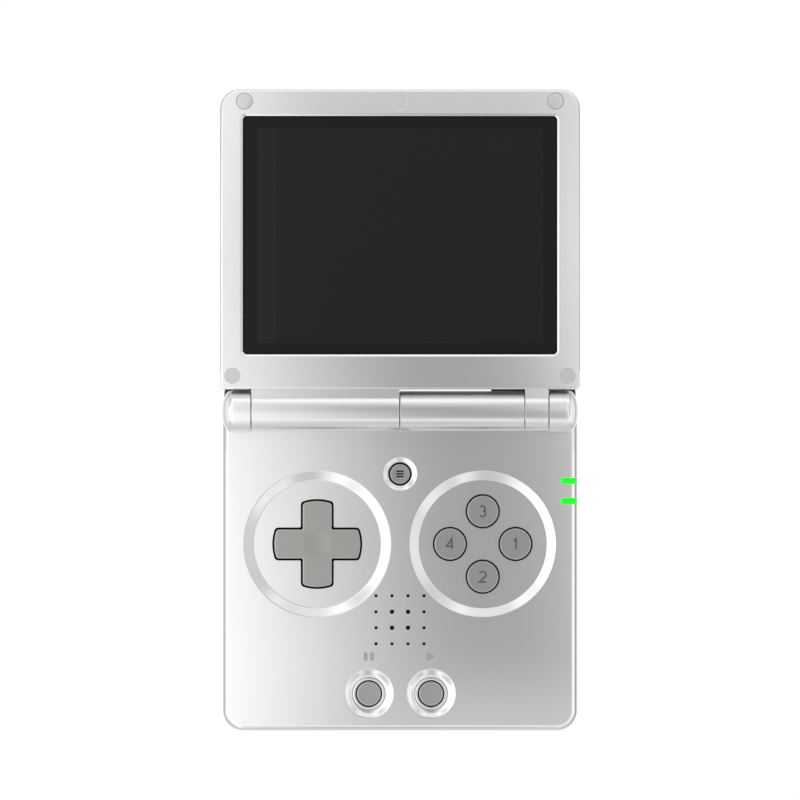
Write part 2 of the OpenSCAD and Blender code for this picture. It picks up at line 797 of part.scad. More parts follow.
module lid_front_bezel() {
    color(SILVER) difference() {
        union() {
            difference() {
                slab(lid_x, lid_near, lid_far, lid_seam, lid_top, lid_near_corner, lid_corner, 0, lid_edge);
                translate([0, 0, lid_seam - 1]) linear_extrude(lid_top - lid_plate - lid_seam + 1)
                    plan(lid_x - lid_wall, lid_near + lid_wall, lid_far - lid_wall, 0.5, lid_corner - lid_wall);
            }
            intersection() {
                for (p = lid_screw_points) post(p, 2.1, lid_seam, lid_top - 1);
                slab(lid_x, lid_near, lid_far, lid_seam, lid_top, lid_near_corner, lid_corner, 0, lid_edge);
            }
            for (k = [long_knuckle, short_knuckle]) {
                bar_x(k[0], k[1], barrel_r);
                translate([k[0], 0, axis_z]) rotate([90, 0, 90]) linear_extrude(k[1] - k[0])
                    polygon([[0, -1.5], [lid_near, -1.5], [lid_near, 3.35], [3.3, 3.78], [0, 3.78]]);
                block([k[0], lid_near - 0.1, lid_seam], [k[1], lid_near + lid_wall, lid_top - 0.4]);
            }
        }
        // Pocket for the cover glass, and the window through its ledge
        translate([0, glass_y, glass_top - glass_t - 0.05]) linear_extrude(5)
            plan(glass_w / 2 + 0.05, -glass_h / 2 - 0.05, glass_h / 2 + 0.05, glass_corner, glass_corner);
        block([-36.6, glass_y - 27.8, 20], [36.6, glass_y + 27.8, 30]);
        glass_chamfer();
        for (p = lid_screw_points) {
            post(p, 2.05, lid_top - 0.6, lid_top + 1);
            post(p, 1.6, lid_top - 1.7, lid_top);
            post(p, 0.9, lid_seam - 1, lid_top);
        }
        // Bores for the pivot pin, the ribbon, the bush and the cam
        bar_x(-40, -33, pivot_r + running);
        bar_x(-33.2, -4.4, 3.6);
        bar_x(-5, 0, bush_r + running);
        translate([30, 0, axis_z]) rotate([0, 90, 0]) cylinder(r = 2.42, h = 6.3, $fn = 6);
        block([-24, 0, lid_seam], [-16, 10, lid_seam + 0.8]);
        // A very shallow round moulding mark at the middle of the far edge
        post([0, 76.4], 1.9, lid_top - 0.1, lid_top + 1);
    }
}

// The sloping edge round the cover glass
module glass_chamfer() {
    intersection() {
        translate([0, glass_y + 50, glass_top]) rotate([90, 0, 0]) linear_extrude(100)
            chamfer_section(glass_w / 2 + 0.05);
        translate([-50, glass_y, glass_top]) rotate([90, 0, 90]) linear_extrude(100)
            chamfer_section(glass_h / 2 + 0.05);
    }
}

// A trapezium that opens upwards from half width d
module chamfer_section(d) {
    top = d + 2 * glass_chamfer_w;
    rise = 2 * glass_chamfer_h;
    polygon([[-d, 0], [d, 0], [top, rise], [-top, rise]]);
}

// The outer shape of the lid's back half: far corners rounded all over, near ones squarer
module lid_back_form() {
    intersection() {
        slab(lid_x, lid_near - 20, lid_far, lid_bottom, lid_seam, lid_corner, lid_corner, lid_back_edge, 0);
        translate([0, 0, lid_bottom - 1]) linear_extrude(lid_t)
            plan(lid_x + 0.001, lid_near, lid_far + 20, lid_near_corner, lid_corner);
        translate([-50, lid_near, 0]) rotate([90, 0, 90]) linear_extrude(100)
            translate([90, 0]) mirror([1, 0]) edge_section(90, lid_bottom, lid_top, 1.5, 0);
    }
}

module lid_back_shell() {
    color(SILVER) difference() {
        union() {
            difference() {
                lid_back_form();
                translate([0, 0, lid_bottom + lid_wall]) linear_extrude(10)
                    plan(lid_x - lid_wall - 0.6, lid_near + lid_wall + 0.6, lid_far - lid_wall - 0.6, 0.5,
                        lid_corner - lid_wall);
            }
            intersection() {
                for (p = lid_screw_points) post(p, 2.1, lid_bottom + lid_wall - 0.1, lid_seam);
                lid_back_form();
            }
            for (x = [-30, -10, 10, 30])
                block([x - 0.5, 14, lid_bottom + 1], [x + 0.5, 73, backlight_low]);
        }
        for (p = lid_screw_points) post(p, 0.7, lid_bottom + 2.4, lid_seam + 1);
        block([-24, 0, lid_seam - 0.7], [-16, 10, lid_seam + 1]);
    }
}

module screen_glass() {
    color([0.10, 0.10, 0.11]) translate([0, glass_y, glass_top - glass_t]) linear_extrude(glass_t)
        plan(glass_w / 2, -glass_h / 2, glass_h / 2, glass_corner, glass_corner);
}

module lcd_panel() {
    color([0.15, 0.15, 0.16]) block([-38.3, 13, lcd_top - 1.4], [38.3, 74, lcd_top]);
}

module lcd_backlight() {
    color(STEEL) block([-38.3, 13, backlight_low], [38.3, 74, lcd_top - 1.4]);
}

module lcd_gasket() {
    color([0.08, 0.08, 0.08]) difference() {
        block([-38.2, 14, lcd_top], [38.2, 73, lcd_top + 0.5]);
        block([-picture_w / 2 - 0.5, glass_y - picture_h / 2 - 0.6, 0],
            [picture_w / 2 + 0.5, glass_y + picture_h / 2 + 0.4, 40]);
    }
}

module closing_magnet() {
    color(STEEL) block([-4, 75.2, lid_bottom + lid_wall], [4, lid_far - lid_wall - 0.6, lid_bottom + lid_wall + 3]);
}

module lid_screws() {
    color(STEEL) for (p = lid_screw_points) translate([0, 0, 2 * lid_top - 2.3]) mirror([0, 0, 1])
        pan_screw(p, 1.5, 0.9, 0.65, lid_top - 1.55, lid_top + 4.2);
}

module lid_bumpers() {
    color([0.82, 0.82, 0.83]) for (p = lid_screw_points) {
        far = p[1] > 40;
        post(p, 1.95, lid_top - 0.6, lid_top + (far ? 0.1 : 0.02));
        if (far) translate([p[0], p[1], lid_top + 0.1]) cylinder(r1 = 1.95, r2 = 1.3, h = 0.2);
    }
}

base_front_shell();
base_rear_shell();
battery_door();
battery_door_screw();
battery_pack();
battery_lead();
main_board();
processor_shield();
dpad_membrane();
action_membrane();
menu_membrane();
option_membrane();
speaker();
speaker_mesh();
vibration_motor();
usb_socket();
video_socket();
headphone_socket();
card_sockets();
memory_card();
status_light_pipes();
shoulder_switches();
side_switches();
control_pins();
rear_case_screws();
rubber_feet();
left_hinge_cap();
right_hinge_cap();
hinge_clutch();
hinge_cam();
hinge_bush();
hinge_pivot_pin();
ribbon_base_tail();
ribbon_lid_tail();
option_button_rings();
dpad_ball();
dpad();
action_button(0);  // action_button_right
action_button(1);  // action_button_rear
action_button(2);  // action_button_left
action_button(3);  // action_button_front
option_button(-1);  // option_button_left
option_button(1);  // option_button_right
menu_button();
power_button();
reset_button();
volume_rocker();
shoulder_button(shoulder_split + 0.2, 50, 36);  // shoulder_right_outer
shoulder_button(notch_x + 0.3, shoulder_split - 0.2, 26);  // shoulder_right_inner
mirror([1, 0, 0]) shoulder_button(shoulder_split + 0.2, 50, 36);  // shoulder_left_outer
mirror([1, 0, 0]) shoulder_button(notch_x + 0.3, shoulder_split - 0.2, 26);  // shoulder_left_inner
lid_front_bezel();
lid_back_shell();
screen_glass();
lcd_panel();
lcd_backlight();
lcd_gasket();
closing_magnet();
lid_screws();
lid_bumpers();
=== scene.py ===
"""Looks of the clamshell handheld game: visible shells, glass, buttons and fittings round the fixed frame."""

import math

import bmesh
import bpy
import numpy as np
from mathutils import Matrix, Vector
from mathutils.geometry import delaunay_2d_cdt
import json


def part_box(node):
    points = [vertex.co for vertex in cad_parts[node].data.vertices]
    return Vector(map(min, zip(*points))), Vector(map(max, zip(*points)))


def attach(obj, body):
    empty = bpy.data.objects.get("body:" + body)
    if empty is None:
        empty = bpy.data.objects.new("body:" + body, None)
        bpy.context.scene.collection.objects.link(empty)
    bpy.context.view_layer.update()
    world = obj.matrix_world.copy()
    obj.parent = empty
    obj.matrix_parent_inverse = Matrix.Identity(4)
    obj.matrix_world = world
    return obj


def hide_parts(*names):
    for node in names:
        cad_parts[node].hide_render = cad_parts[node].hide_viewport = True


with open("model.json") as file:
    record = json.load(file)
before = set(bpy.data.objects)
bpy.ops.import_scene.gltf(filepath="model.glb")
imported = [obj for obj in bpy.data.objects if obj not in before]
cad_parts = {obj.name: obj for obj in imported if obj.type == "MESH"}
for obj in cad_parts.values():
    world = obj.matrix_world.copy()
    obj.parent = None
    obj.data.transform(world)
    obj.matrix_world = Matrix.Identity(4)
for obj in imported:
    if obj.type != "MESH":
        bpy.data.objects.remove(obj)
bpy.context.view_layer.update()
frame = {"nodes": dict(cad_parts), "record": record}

# ---------------------------------------------------------------- sizes, in millimetres

MM = 0.001


def box_mm(node):
    low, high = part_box(node)
    return np.array(low) / MM, np.array(high) / MM


def middle_mm(node):
    low, high = box_mm(node)
    return (low + high) / 2


BASE_LOW, BASE_HIGH = box_mm("base_rear_shell")
LID_LOW, LID_HIGH = box_mm("lid_back_shell")
GLASS_LOW, GLASS_HIGH = box_mm("screen_glass")
CAP_LOW, CAP_HIGH = box_mm("right_hinge_cap")
BASE_X = BASE_HIGH[0]
REACH = -BASE_LOW[1]
REAR = BASE_HIGH[1]
LID_X = LID_HIGH[0]
PAD = middle_mm("dpad")[:2]
ACTION = middle_mm("action_membrane")[:2]
MENU = middle_mm("menu_button")[:2]
OPTIONS = [middle_mm(f"option_button_{side}")[:2] for side in ("left", "right")]
SPEAKER = middle_mm("speaker")[:2]

# heights, from the underside up
FOOT = 0.5
SEAM = box_mm("base_front_shell")[0][2]
UNDER_FACE = 13.8
DISH_FLOOR = 15.2
FACE = 16.5
AXIS = middle_mm("hinge_clutch")[2]
LID_SEAM = LID_HIGH[2]
LID_TOP = AXIS + 3.75

# walls, and the notches in the rear wall for the shoulder buttons
WALL = 1.6
WALL_LIP = 0.12
GROOVE = 0.08
# the groove at a seam, as (depth into the wall, distance from the seam)
SEAM_LIP = [(0, GROOVE), (0.07, 0.02), (0.16, 0.0), (0.6, 0.0)]
NOTCH_X = 22.3
NOTCH_Y = 0.8
NOTCH_Z = (3.8, 14.1)

# hinge row
BARREL_R = 5.15
KNUCKLE_R = 5.0
KNUCKLES = {"base": (0.05, 30.8), "lid_long": (-36.75, -0.15), "lid_short": (30.95, 36.75)}

# ---------------------------------------------------------------- outlines


def arc(centre, r, start, end, steps):
    a = np.radians(np.linspace(start, end, steps + 1))
    return np.stack([centre[0] + r * np.cos(a), centre[1] + r * np.sin(a)], 1)


def circle(centre, r, steps=96):
    return arc(centre, r, 0, 360, steps)[:-1]


def rounded(low, high, radii, steps=10):
    """A rounded rectangle, anticlockwise from the lower left corner."""
    (x0, y0), (x1, y1) = low, high
    a, b, c, d = radii
    return np.concatenate(
        [
            arc((x0 + a, y0 + a), a, 180, 270, steps),
            arc((x1 - b, y0 + b), b, 270, 360, steps),
            arc((x1 - c, y1 - c), c, 0, 90, steps),
            arc((x0 + d, y1 - d), d, 90, 180, steps),
        ]
    )


def inset(loop, d):
    """The loop moved inwards by d, or outwards if d is negative."""
    edges = [loop - np.roll(loop, 1, 0), np.roll(loop, -1, 0) - loop]
    n = [
        np.stack([-e[:, 1], e[:, 0]], 1) / np.linalg.norm(e, axis=1, keepdims=True)
        for e in edges
    ]
    return loop + d * (n[0] + n[1]) / (1 + (n[0] * n[1]).sum(1, keepdims=True))


def soften(points, r, steps=3, closed=False):
    """The same path with its corners rounded over a distance of r."""
    p = np.array(points, float)
    n = len(p)
    made = [] if closed else [p[:1]]
    for i in range(0 if closed else 1, n if closed else n - 1):
        a, b, c = p[i - 1], p[i], p[(i + 1) % n]
        da, dc = np.linalg.norm(a - b), np.linalg.norm(c - b)
        s = b + (a - b) * min(r / da, 0.45)
        e = b + (c - b) * min(r / dc, 0.45)
        t = np.linspace(0, 1, steps + 1)[:, None]
        made.append(s * (1 - t) ** 2 + 2 * b * t * (1 - t) + e * t**2)
    if not closed:
        made.append(p[-1:])
    return np.concatenate(made)


def inside(points, loop):
    """Which points lie inside a closed loop."""
    x, y = points[:, 0:1], points[:, 1:2]
    a, b = loop, np.roll(loop, -1, 0)
    spans = (a[:, 1] > y) != (b[:, 1] > y)
    dy = np.where(b[:, 1] == a[:, 1], 1, b[:, 1] - a[:, 1])
    at = a[:, 0] + (y - a[:, 1]) * (b[:, 0] - a[:, 0]) / dy
    return ((spans & (x < at)).sum(1) % 2).astype(bool)


def round_edge(r, steps=5):
    """(inset, height below the top) from the foot of a rounded edge to its top."""
    t = np.radians(np.linspace(0, 90, steps + 1))
    return [(r * (1 - math.cos(a)), r * (1 - math.sin(a))) for a in t]


# ---------------------------------------------------------------- surfaces

SHARP = math.cos(math.radians(40))
NEAR_ZERO = 1e-30


class Skin:
    """A mesh built from rings, bands and flat plates."""

    def __init__(self):
        self.verts, self.faces, self.slots, self.flat = [], [], [], set()

    def points(self, pts):
        first = len(self.verts)
        self.verts += [tuple(map(float, p)) for p in pts]
        return list(range(first, len(self.verts)))

    def ring(self, loop, z):
        return self.points([(x, y, z) for x, y in loop])

    def band(self, a, b, slot=0, closed=True):
        n = len(a)
        for i in range(n if closed else n - 1):
            j = (i + 1) % n
            self.faces.append((a[i], a[j], b[j], b[i]))
            self.slots.append(slot)

    def loft(self, rows, slot=0):
        """Bands through (loop, height) rows."""
        rings = [self.ring(loop, z) for loop, z in rows]
        for a, b in zip(rings, rings[1:]):
            self.band(a, b, slot)

    def triangles(self, loops, extra=()):
        """Triangulates the area inside the first loop and outside the others."""
        pts, edges = [], []
        for loop in loops:
            k = len(pts)
            pts += [Vector(p) for p in loop]
            edges += [(k + i, k + (i + 1) % len(loop)) for i in range(len(loop))]
        for a, b in extra:
            edges.append((len(pts), len(pts) + 1))
            pts += [Vector(a), Vector(b)]
        found = delaunay_2d_cdt(pts, edges, [], 0, 1e-5, False)
        v = np.array([tuple(p) for p in found[0]])
        f = np.array([t for t in found[2] if len(t) == 3])
        mid = v[f].mean(1)
        good = inside(mid, loops[0])
        for hole in loops[1:]:
            good &= ~inside(mid, hole)
        return v, f[good]

    def plate(self, outer, holes, z, slot=0):
        """A flat plate at height z."""
        v, f = self.triangles([outer, *holes])
        k = self.ring(v, z)[0]
        self.flat.update(range(len(self.faces), len(self.faces) + len(f)))
        self.faces += [tuple(int(i) + k for i in t) for t in f]
        self.slots += [slot] * len(f)

    def lathe(self, centre, profile, steps=96, slot=0, lid=True):
        """Bands round a centre through (radius, height) points, closed by a plate."""
        self.loft([(circle(centre, r, steps), z) for r, z in profile], slot)
        if lid:
            self.plate(circle(centre, profile[-1][0], steps), [], profile[-1][1], slot)

    def piece(self, name, body, materials, replaces=(), along_x=False):
        """Makes the object. along_x turns (u, v, w) into (w, u, v), for parts made round the hinge."""
        v = np.array(self.verts)
        if along_x:
            v = v[:, [2, 0, 1]]
        mesh = bpy.data.meshes.new(name)
        mesh.from_pydata((v * MM).tolist(), [], self.faces)
        for m in materials:
            mesh.materials.append(m)
        mesh.polygons.foreach_set("material_index", self.slots)
        flat = mesh.attributes.new("flat", "INT", "FACE")
        flat.data.foreach_set("value", [i in self.flat for i in range(len(self.faces))])
        bm = bmesh.new()
        bm.from_mesh(mesh)
        bmesh.ops.remove_doubles(bm, verts=bm.verts, dist=3e-6)
        bmesh.ops.dissolve_degenerate(bm, edges=bm.edges, dist=1e-7)
        bmesh.ops.recalc_face_normals(bm, faces=bm.faces)
        bm.to_mesh(mesh)
        bm.free()
        mesh.shade_smooth()
        set_normals(mesh, SHARP)
        o = bpy.data.objects.new(name, mesh)
        bpy.context.scene.collection.objects.link(o)
        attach(o, body)
        if replaces:
            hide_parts(*replaces)
        return o


def set_normals(mesh, least_cos):
    """Each corner takes the normal of the flat face that it meets smoothly, or else the mean round it."""

    def read(items, what, width=1, kind=float):
        values = np.zeros(len(items) * width, kind)
        items.foreach_get(what, values)
        return values.reshape(-1, width) if width > 1 else values

    normal = read(mesh.polygons, "normal", 3)
    area = read(mesh.polygons, "area")
    flat = read(mesh.attributes["flat"].data, "value", kind=int) > 0
    vertex = read(mesh.loops, "vertex_index", kind=int)
    face = np.repeat(np.arange(len(normal)), read(mesh.polygons, "loop_total", kind=int))
    order = np.argsort(vertex, kind="stable")
    count = np.bincount(vertex, minlength=len(mesh.vertices))
    first = np.cumsum(count) - count
    many = count[vertex]
    mine = np.repeat(np.arange(len(vertex)), many)
    step = np.arange(many.sum()) - np.repeat(np.cumsum(many) - many, many)
    other = face[order[first[vertex][mine] + step]]
    own = face[mine]
    weight = area[other] * np.where(flat[other], 1e6, 1)
    weight[(normal[own] * normal[other]).sum(1) < least_cos] = 0
    weight[flat[own] & (own != other)] = 0
    total = np.zeros((len(vertex), 3))
    np.add.at(total, mine, normal[other] * weight[:, None])
    total /= np.maximum(np.linalg.norm(total, axis=1, keepdims=True), NEAR_ZERO)
    mesh.normals_split_custom_set(total.tolist())
    mesh.attributes.remove(mesh.attributes["flat"])


def weigh(o):
    """Normals follow the large faces, so that flat faces shade flat."""
    m = o.modifiers.new("normals", "WEIGHTED_NORMAL")
    m.weight = 100
    m.keep_sharp = True


class Wall:
    """An upright wall round an outline, with openings given by distance along it and height."""

    def __init__(self, outline):
        self.outline = outline
        closed = np.vstack([outline, outline[:1]])
        self.u = np.concatenate(
            [[0], np.cumsum(np.linalg.norm(np.diff(closed, axis=0), axis=1))]
        )

    def at(self, u, z, d=0):
        """Points at distance u along the outline, height z, and depth d into the wall."""
        loop = inset(self.outline, d)
        loop = np.vstack([loop, loop[:1]])
        return np.stack(
            [
                np.interp(u, self.u, loop[:, 0]),
                np.interp(u, self.u, loop[:, 1]),
                np.broadcast_to(z, np.shape(u)),
            ],
            1,
        )

    def place(self, x, y):
        """Distance along the outline of the point nearest to (x, y)."""
        p = np.array([x, y], float)
        a = self.outline
        b = np.roll(a, -1, 0)
        t = ((p - a) * (b - a)).sum(1) / ((b - a) ** 2).sum(1)
        near = a + np.clip(t, 0, 1)[:, None] * (b - a)
        i = np.linalg.norm(near - p, axis=1).argmin()
        return self.u[i] + np.linalg.norm(near[i] - a[i])

    def span(self, u0, u1):
        """Distances from u0 to u1 with the outline's own points between them."""
        between = self.u[(self.u > u0 + 1e-4) & (self.u < u1 - 1e-4)]
        return np.concatenate([[u0], between, [u1]])

    def build(self, skin, z0, z1, holes, notches, depth):
        """The wall from z0 to z1. A notch is (u0, u1, low, high), open at z0 or z1."""
        cuts = [inset(h, -WALL_LIP) for h in holes]
        for u0, u1, low, high in notches:
            s = self.span(u0, u1)
            cuts.append(self.border(s, low, high))
        outer = self.border(self.u, z0, z1)
        uprights = [((x, z0), (x, z1)) for x in self.u[1:-1]]
        v, f = skin.triangles([outer, *cuts], uprights)
        k = skin.points(self.at(v[:, 0], v[:, 1]))[0]
        skin.faces += [tuple(int(i) + k for i in t) for t in f]
        skin.slots += [0] * len(f)
        for h in holes:
            rims = [(inset(h, -WALL_LIP), 0), (h, WALL_LIP), (h, depth)]
            rows = [skin.points(self.at(loop[:, 0], loop[:, 1], d)) for loop, d in rims]
            for a, b in zip(rows, rows[1:]):
                skin.band(a, b)
        for u0, u1, low, high in notches:
            s = self.span(u0, u1)
            shut = high if low <= z0 else low
            self.strip(skin, s, [(shut, 0), (shut, depth)])
            heights = np.array([max(low, z0), min(high, z1)])
            for end in (u0, u1):
                upright = [skin.points(self.at(np.array([end, end]), heights, d)) for d in (0, depth)]
                skin.band(*upright, closed=False)

    def border(self, u, low, high):
        """A closed loop of (distance, height) along u at one height and back at another."""
        there = np.stack([u, np.full(len(u), low)], 1)
        back = np.stack([u[::-1], np.full(len(u), high)], 1)
        return np.vstack([there, back])

    def strip(self, skin, u, rows):
        """Bands along part of the wall through (height, depth) rows."""
        rings = [skin.points(self.at(u, z, d)) for z, d in rows]
        for a, b in zip(rings, rings[1:]):
            skin.band(a, b, closed=False)

    def seam(self, skin, notches, up):
        """One half of the groove at the seam, along the stretches that the notches leave."""
        rows = [(SEAM + up * away, depth) for depth, away in SEAM_LIP]
        ends = sorted(notches)
        starts = [0] + [e for _, e in ends]
        stops = [s for s, _ in ends] + [self.u[-1]]
        for a, b in zip(starts, stops):
            self.strip(skin, self.span(a, b), rows)


def through(skin, outline, profile, slot=0):
    """A shaped opening: loft the outline through (inset, height) points."""
    skin.loft([(inset(outline, d), z) for d, z in profile], slot)


# ---------------------------------------------------------------- materials

SILVER_COLOR = (0.80, 0.80, 0.80)
EDGE_FROM, EDGE_TO = 0.56, 0.70
WORN_LIGHTER = 0.35
GLOSS_SPREAD = 0.08
BUMP_MM = 0.02
COAT_ROUGH = 0.12


def node(tree, kind, **values):
    made = tree.nodes.new(kind)
    for k, v in values.items():
        setattr(made, k, v)
    return made


def remap(tree, value, *limits):
    """The value moved from the range of the first two limits to that of the last two."""
    made = node(tree, "ShaderNodeMapRange")
    for i, x in enumerate(limits):
        made.inputs[i + 1].default_value = x
    tree.links.new(value, made.inputs[0])
    return made.outputs[0]


def noise(tree, where, size_mm, detail):
    made = node(tree, "ShaderNodeTexNoise")
    made.inputs["Scale"].default_value = 1 / (size_mm * MM)
    made.inputs["Detail"].default_value = detail
    tree.links.new(where, made.inputs["Vector"])
    return made.outputs["Fac"]


def finish_material(
    name, color, rough, metallic=0.0, vary=0.04, grain=0.02, grain_mm=0.25, worn=0.05,
    emission=None, coat=0.0, specular=0.5, cloud_mm=14.0,
):
    """A painted, moulded or metal finish: cloudy colour, fine grain, uneven gloss and lightly worn edges."""
    m = bpy.data.materials.new(name)
    m.use_nodes = True
    t = m.node_tree
    t.nodes.clear()
    link = t.links.new
    shader = node(t, "ShaderNodeBsdfPrincipled")
    link(shader.outputs[0], node(t, "ShaderNodeOutputMaterial").inputs[0])
    where = node(t, "ShaderNodeTexCoord").outputs["Object"]
    cloud = noise(t, where, cloud_mm, 3)
    fine = noise(t, where, grain_mm, 2)

    shade = node(t, "ShaderNodeMix", data_type="RGBA")
    shade.inputs[6].default_value = (*[c * (1 - vary) for c in color], 1)
    shade.inputs[7].default_value = (*[min(1, c * (1 + vary)) for c in color], 1)
    link(cloud, shade.inputs[0])
    wear = node(t, "ShaderNodeMix", data_type="RGBA")
    wear.inputs[7].default_value = (*[min(1, c + WORN_LIGHTER * (1 - c)) for c in color], 1)
    around = node(t, "ShaderNodeNewGeometry").outputs["Pointiness"]
    link(remap(t, around, EDGE_FROM, EDGE_TO, 0.0, worn), wear.inputs[0])
    link(shade.outputs[2], wear.inputs[6])
    link(wear.outputs[2], shader.inputs["Base Color"])

    roughness = remap(t, fine, 0.3, 0.7, rough * (1 - GLOSS_SPREAD), min(1, rough * (1 + GLOSS_SPREAD)))
    link(roughness, shader.inputs["Roughness"])
    bump = node(t, "ShaderNodeBump")
    bump.inputs["Strength"].default_value = grain
    bump.inputs["Distance"].default_value = BUMP_MM * MM
    link(fine, bump.inputs["Height"])
    link(bump.outputs[0], shader.inputs["Normal"])
    shader.inputs["Metallic"].default_value = metallic
    shader.inputs["Specular IOR Level"].default_value = specular
    if coat:
        shader.inputs["Coat Weight"].default_value = coat
        shader.inputs["Coat Roughness"].default_value = COAT_ROUGH
    if emission:
        shader.inputs["Emission Color"].default_value = (*color, 1)
        shader.inputs["Emission Strength"].default_value = emission
    return m


PAINT = {"metallic": 0.92, "vary": 0.010}
KEYS = {"vary": 0.03, "grain": 0.2, "grain_mm": 0.3, "coat": 0.3}
GLASS = {"vary": 0.05, "grain": 0.0, "worn": 0.0, "specular": 0.02}
# the picture area's faint emission is a painted glow that evens out its shading
PAINTED_GLOW_PANEL = {**GLASS, "cloud_mm": 60, "emission": 0.5}
SILVER = finish_material("silver_paint", SILVER_COLOR, 0.20, **PAINT, grain=0.04, grain_mm=0.18)
SILVER_ROLLED = finish_material("silver_rolled", SILVER_COLOR, 0.24, **PAINT, grain=0.0, grain_mm=0.4)
PAD_GREY = finish_material("pad_grey", (0.322, 0.321, 0.309), 0.38, **KEYS)
ACTION_GREY = finish_material("action_grey", (0.295, 0.295, 0.295), 0.38, **KEYS)
# a lighter, glossier copy of the key plastic for the rims of buttons and pad: a painted highlight on their
# rounded edges
PAINTED_RIM_HIGHLIGHT = finish_material("button_rim_painted_highlight", (0.42, 0.42, 0.41), 0.22, 0.5, vary=0.02)
MARK_GREY = finish_material("mark_grey", (0.105, 0.105, 0.105), 0.6)
INLAY = finish_material("inlay_grey", (0.36, 0.36, 0.36), 0.5)
DARK = finish_material("dark_plastic", (0.035, 0.035, 0.037), 0.5, vary=0.1, grain=0.3, grain_mm=0.3)
BLACK = finish_material("black_plastic", (0.012, 0.012, 0.013), 0.45, vary=0.1, grain=0.2)
# the border and rim also glow faintly: painted light on the dark glass
BORDER = finish_material("glass_border", (0.0117, 0.0117, 0.0119), 0.3, **GLASS, emission=0.4)
RIM = finish_material("glass_rim", (0.0085, 0.0085, 0.0085), 0.3, **GLASS, emission=0.4)
PICTURE = finish_material("picture_area", (0.0133, 0.0133, 0.0136), 0.35, **PAINTED_GLOW_PANEL)
PICTURE_EDGE = finish_material("picture_edge", (0.0154, 0.0154, 0.0157), 0.35, **PAINTED_GLOW_PANEL)
DISC = finish_material("disc_matt", (0.58, 0.58, 0.59), 0.6, vary=0.04)
DISC_CLEAR = finish_material("disc_satin", (0.62, 0.62, 0.63), 0.3, 0.35, vary=0.03)
STEEL = finish_material("steel", (0.56, 0.56, 0.57), 0.3, 1.0, vary=0.06, grain=0.3)
SCREW = finish_material("screw_black", (0.10, 0.10, 0.105), 0.35, 0.9, vary=0.1, grain=0.3)
RUBBER = finish_material("rubber", (0.03, 0.03, 0.032), 0.85, vary=0.15, grain=0.5)
SILICONE = finish_material("silicone", (0.55, 0.57, 0.57), 0.6, vary=0.05)
BOARD = finish_material("board_green", (0.012, 0.09, 0.035), 0.3, vary=0.12, coat=0.3)
FOIL = finish_material("battery_foil", (0.10, 0.12, 0.16), 0.4, 0.5, vary=0.08)
WIRE = finish_material("wire_red", (0.45, 0.02, 0.015), 0.5)
FLEX = finish_material("flex_amber", (0.50, 0.20, 0.02), 0.35, vary=0.08)
# near-black painted shade for the walls of gaps and for the flanges and sides seen through them; the menu
# button's printed bars use it too
PAINTED_SHADE_AND_PRINT = finish_material("painted_shade_and_print", (0.015, 0.015, 0.015), 0.8, specular=0.1)
MESH = finish_material("mesh_black", (0.01, 0.01, 0.01), 0.8, grain=0.8)
WHITE = finish_material("white_plastic", (0.8, 0.8, 0.78), 0.4)
LIGHT = finish_material("light_green", (0.012, 0.95, 0.02), 0.5, emission=0.6, vary=0.05, specular=0.1)

SLOT_MATERIAL = {
    "shell": SILVER, "button": PAD_GREY, "dark_plastic": DARK, "jack_plastic": BLACK,
    "silicone": SILICONE, "foot_rubber": RUBBER, "gasket_foam": RUBBER, "bumper": DISC,
    "cover_glass": BORDER, "lcd": PICTURE, "backlight": WHITE, "board": BOARD,
    "battery_foil": FOIL, "wire": WIRE, "steel": STEEL, "screw": SCREW, "magnet": STEEL,
    "speaker_frame": DARK, "mesh": MESH, "flex": FLEX, "light": LIGHT,
}

# ---------------------------------------------------------------- fixed nodes that stay in view

# width of the rounded edges, in millimetres
CRISP = {
    "battery_door": 0.25, "shoulder_left_outer": 0.3, "shoulder_left_inner": 0.3,
    "shoulder_right_outer": 0.3, "shoulder_right_inner": 0.3, "power_button": 0.25,
    "volume_rocker": 0.25, "reset_button": 0.15, "memory_card": 0.12, "rubber_feet": 0.1,
    "battery_door_screw": 0.1, "rear_case_screws": 0.1, "usb_socket": 0.08,
    "video_socket": 0.08, "headphone_socket": 0.12, "card_sockets": 0.08,
}
slot_of = {s["node"]: s["material_slot"] for s in frame["record"]["subparts"]}
for name, o in frame["nodes"].items():
    o.data.materials.clear()
    o.data.materials.append(SLOT_MATERIAL[slot_of[name]])
    o.data.shade_smooth()
    o.data.set_sharp_from_angle(angle=math.radians(30))
    if name in CRISP:
        flat = o.modifiers.new("flat", "DECIMATE")
        flat.decimate_type = "DISSOLVE"
        flat.angle_limit = math.radians(1)
        soft = o.modifiers.new("edge", "BEVEL")
        soft.width = CRISP[name] * MM
        soft.segments = 2
        soft.limit_method = "ANGLE"
        soft.angle_limit = math.radians(35)
        soft.harden_normals = False
    weigh(o)

# ---------------------------------------------------------------- base

TOP_EDGE = 1.4
BOTTOM_EDGE = 3.0
DISH_R = 18.15
DISH_FLAT = 15.85
DISH_PLATE = DISH_FLAT - 0.6
DISH_STEPS = 144
CROSS_REACH = 10.7
CROSS_ARM = 7.3
CROSS_GAP = 0.42
ACTION_HOLE_R = 4.2
SPEAKER_PITCH = 3.96
SPEAKER_WIDE, SPEAKER_NARROW = 0.55, 0.4
BASE_CORNERS = (4.9, 4.9, 3.5, 3.5)
TROUGH_R = BARREL_R + 0.25
TROUGH_X = 36.95

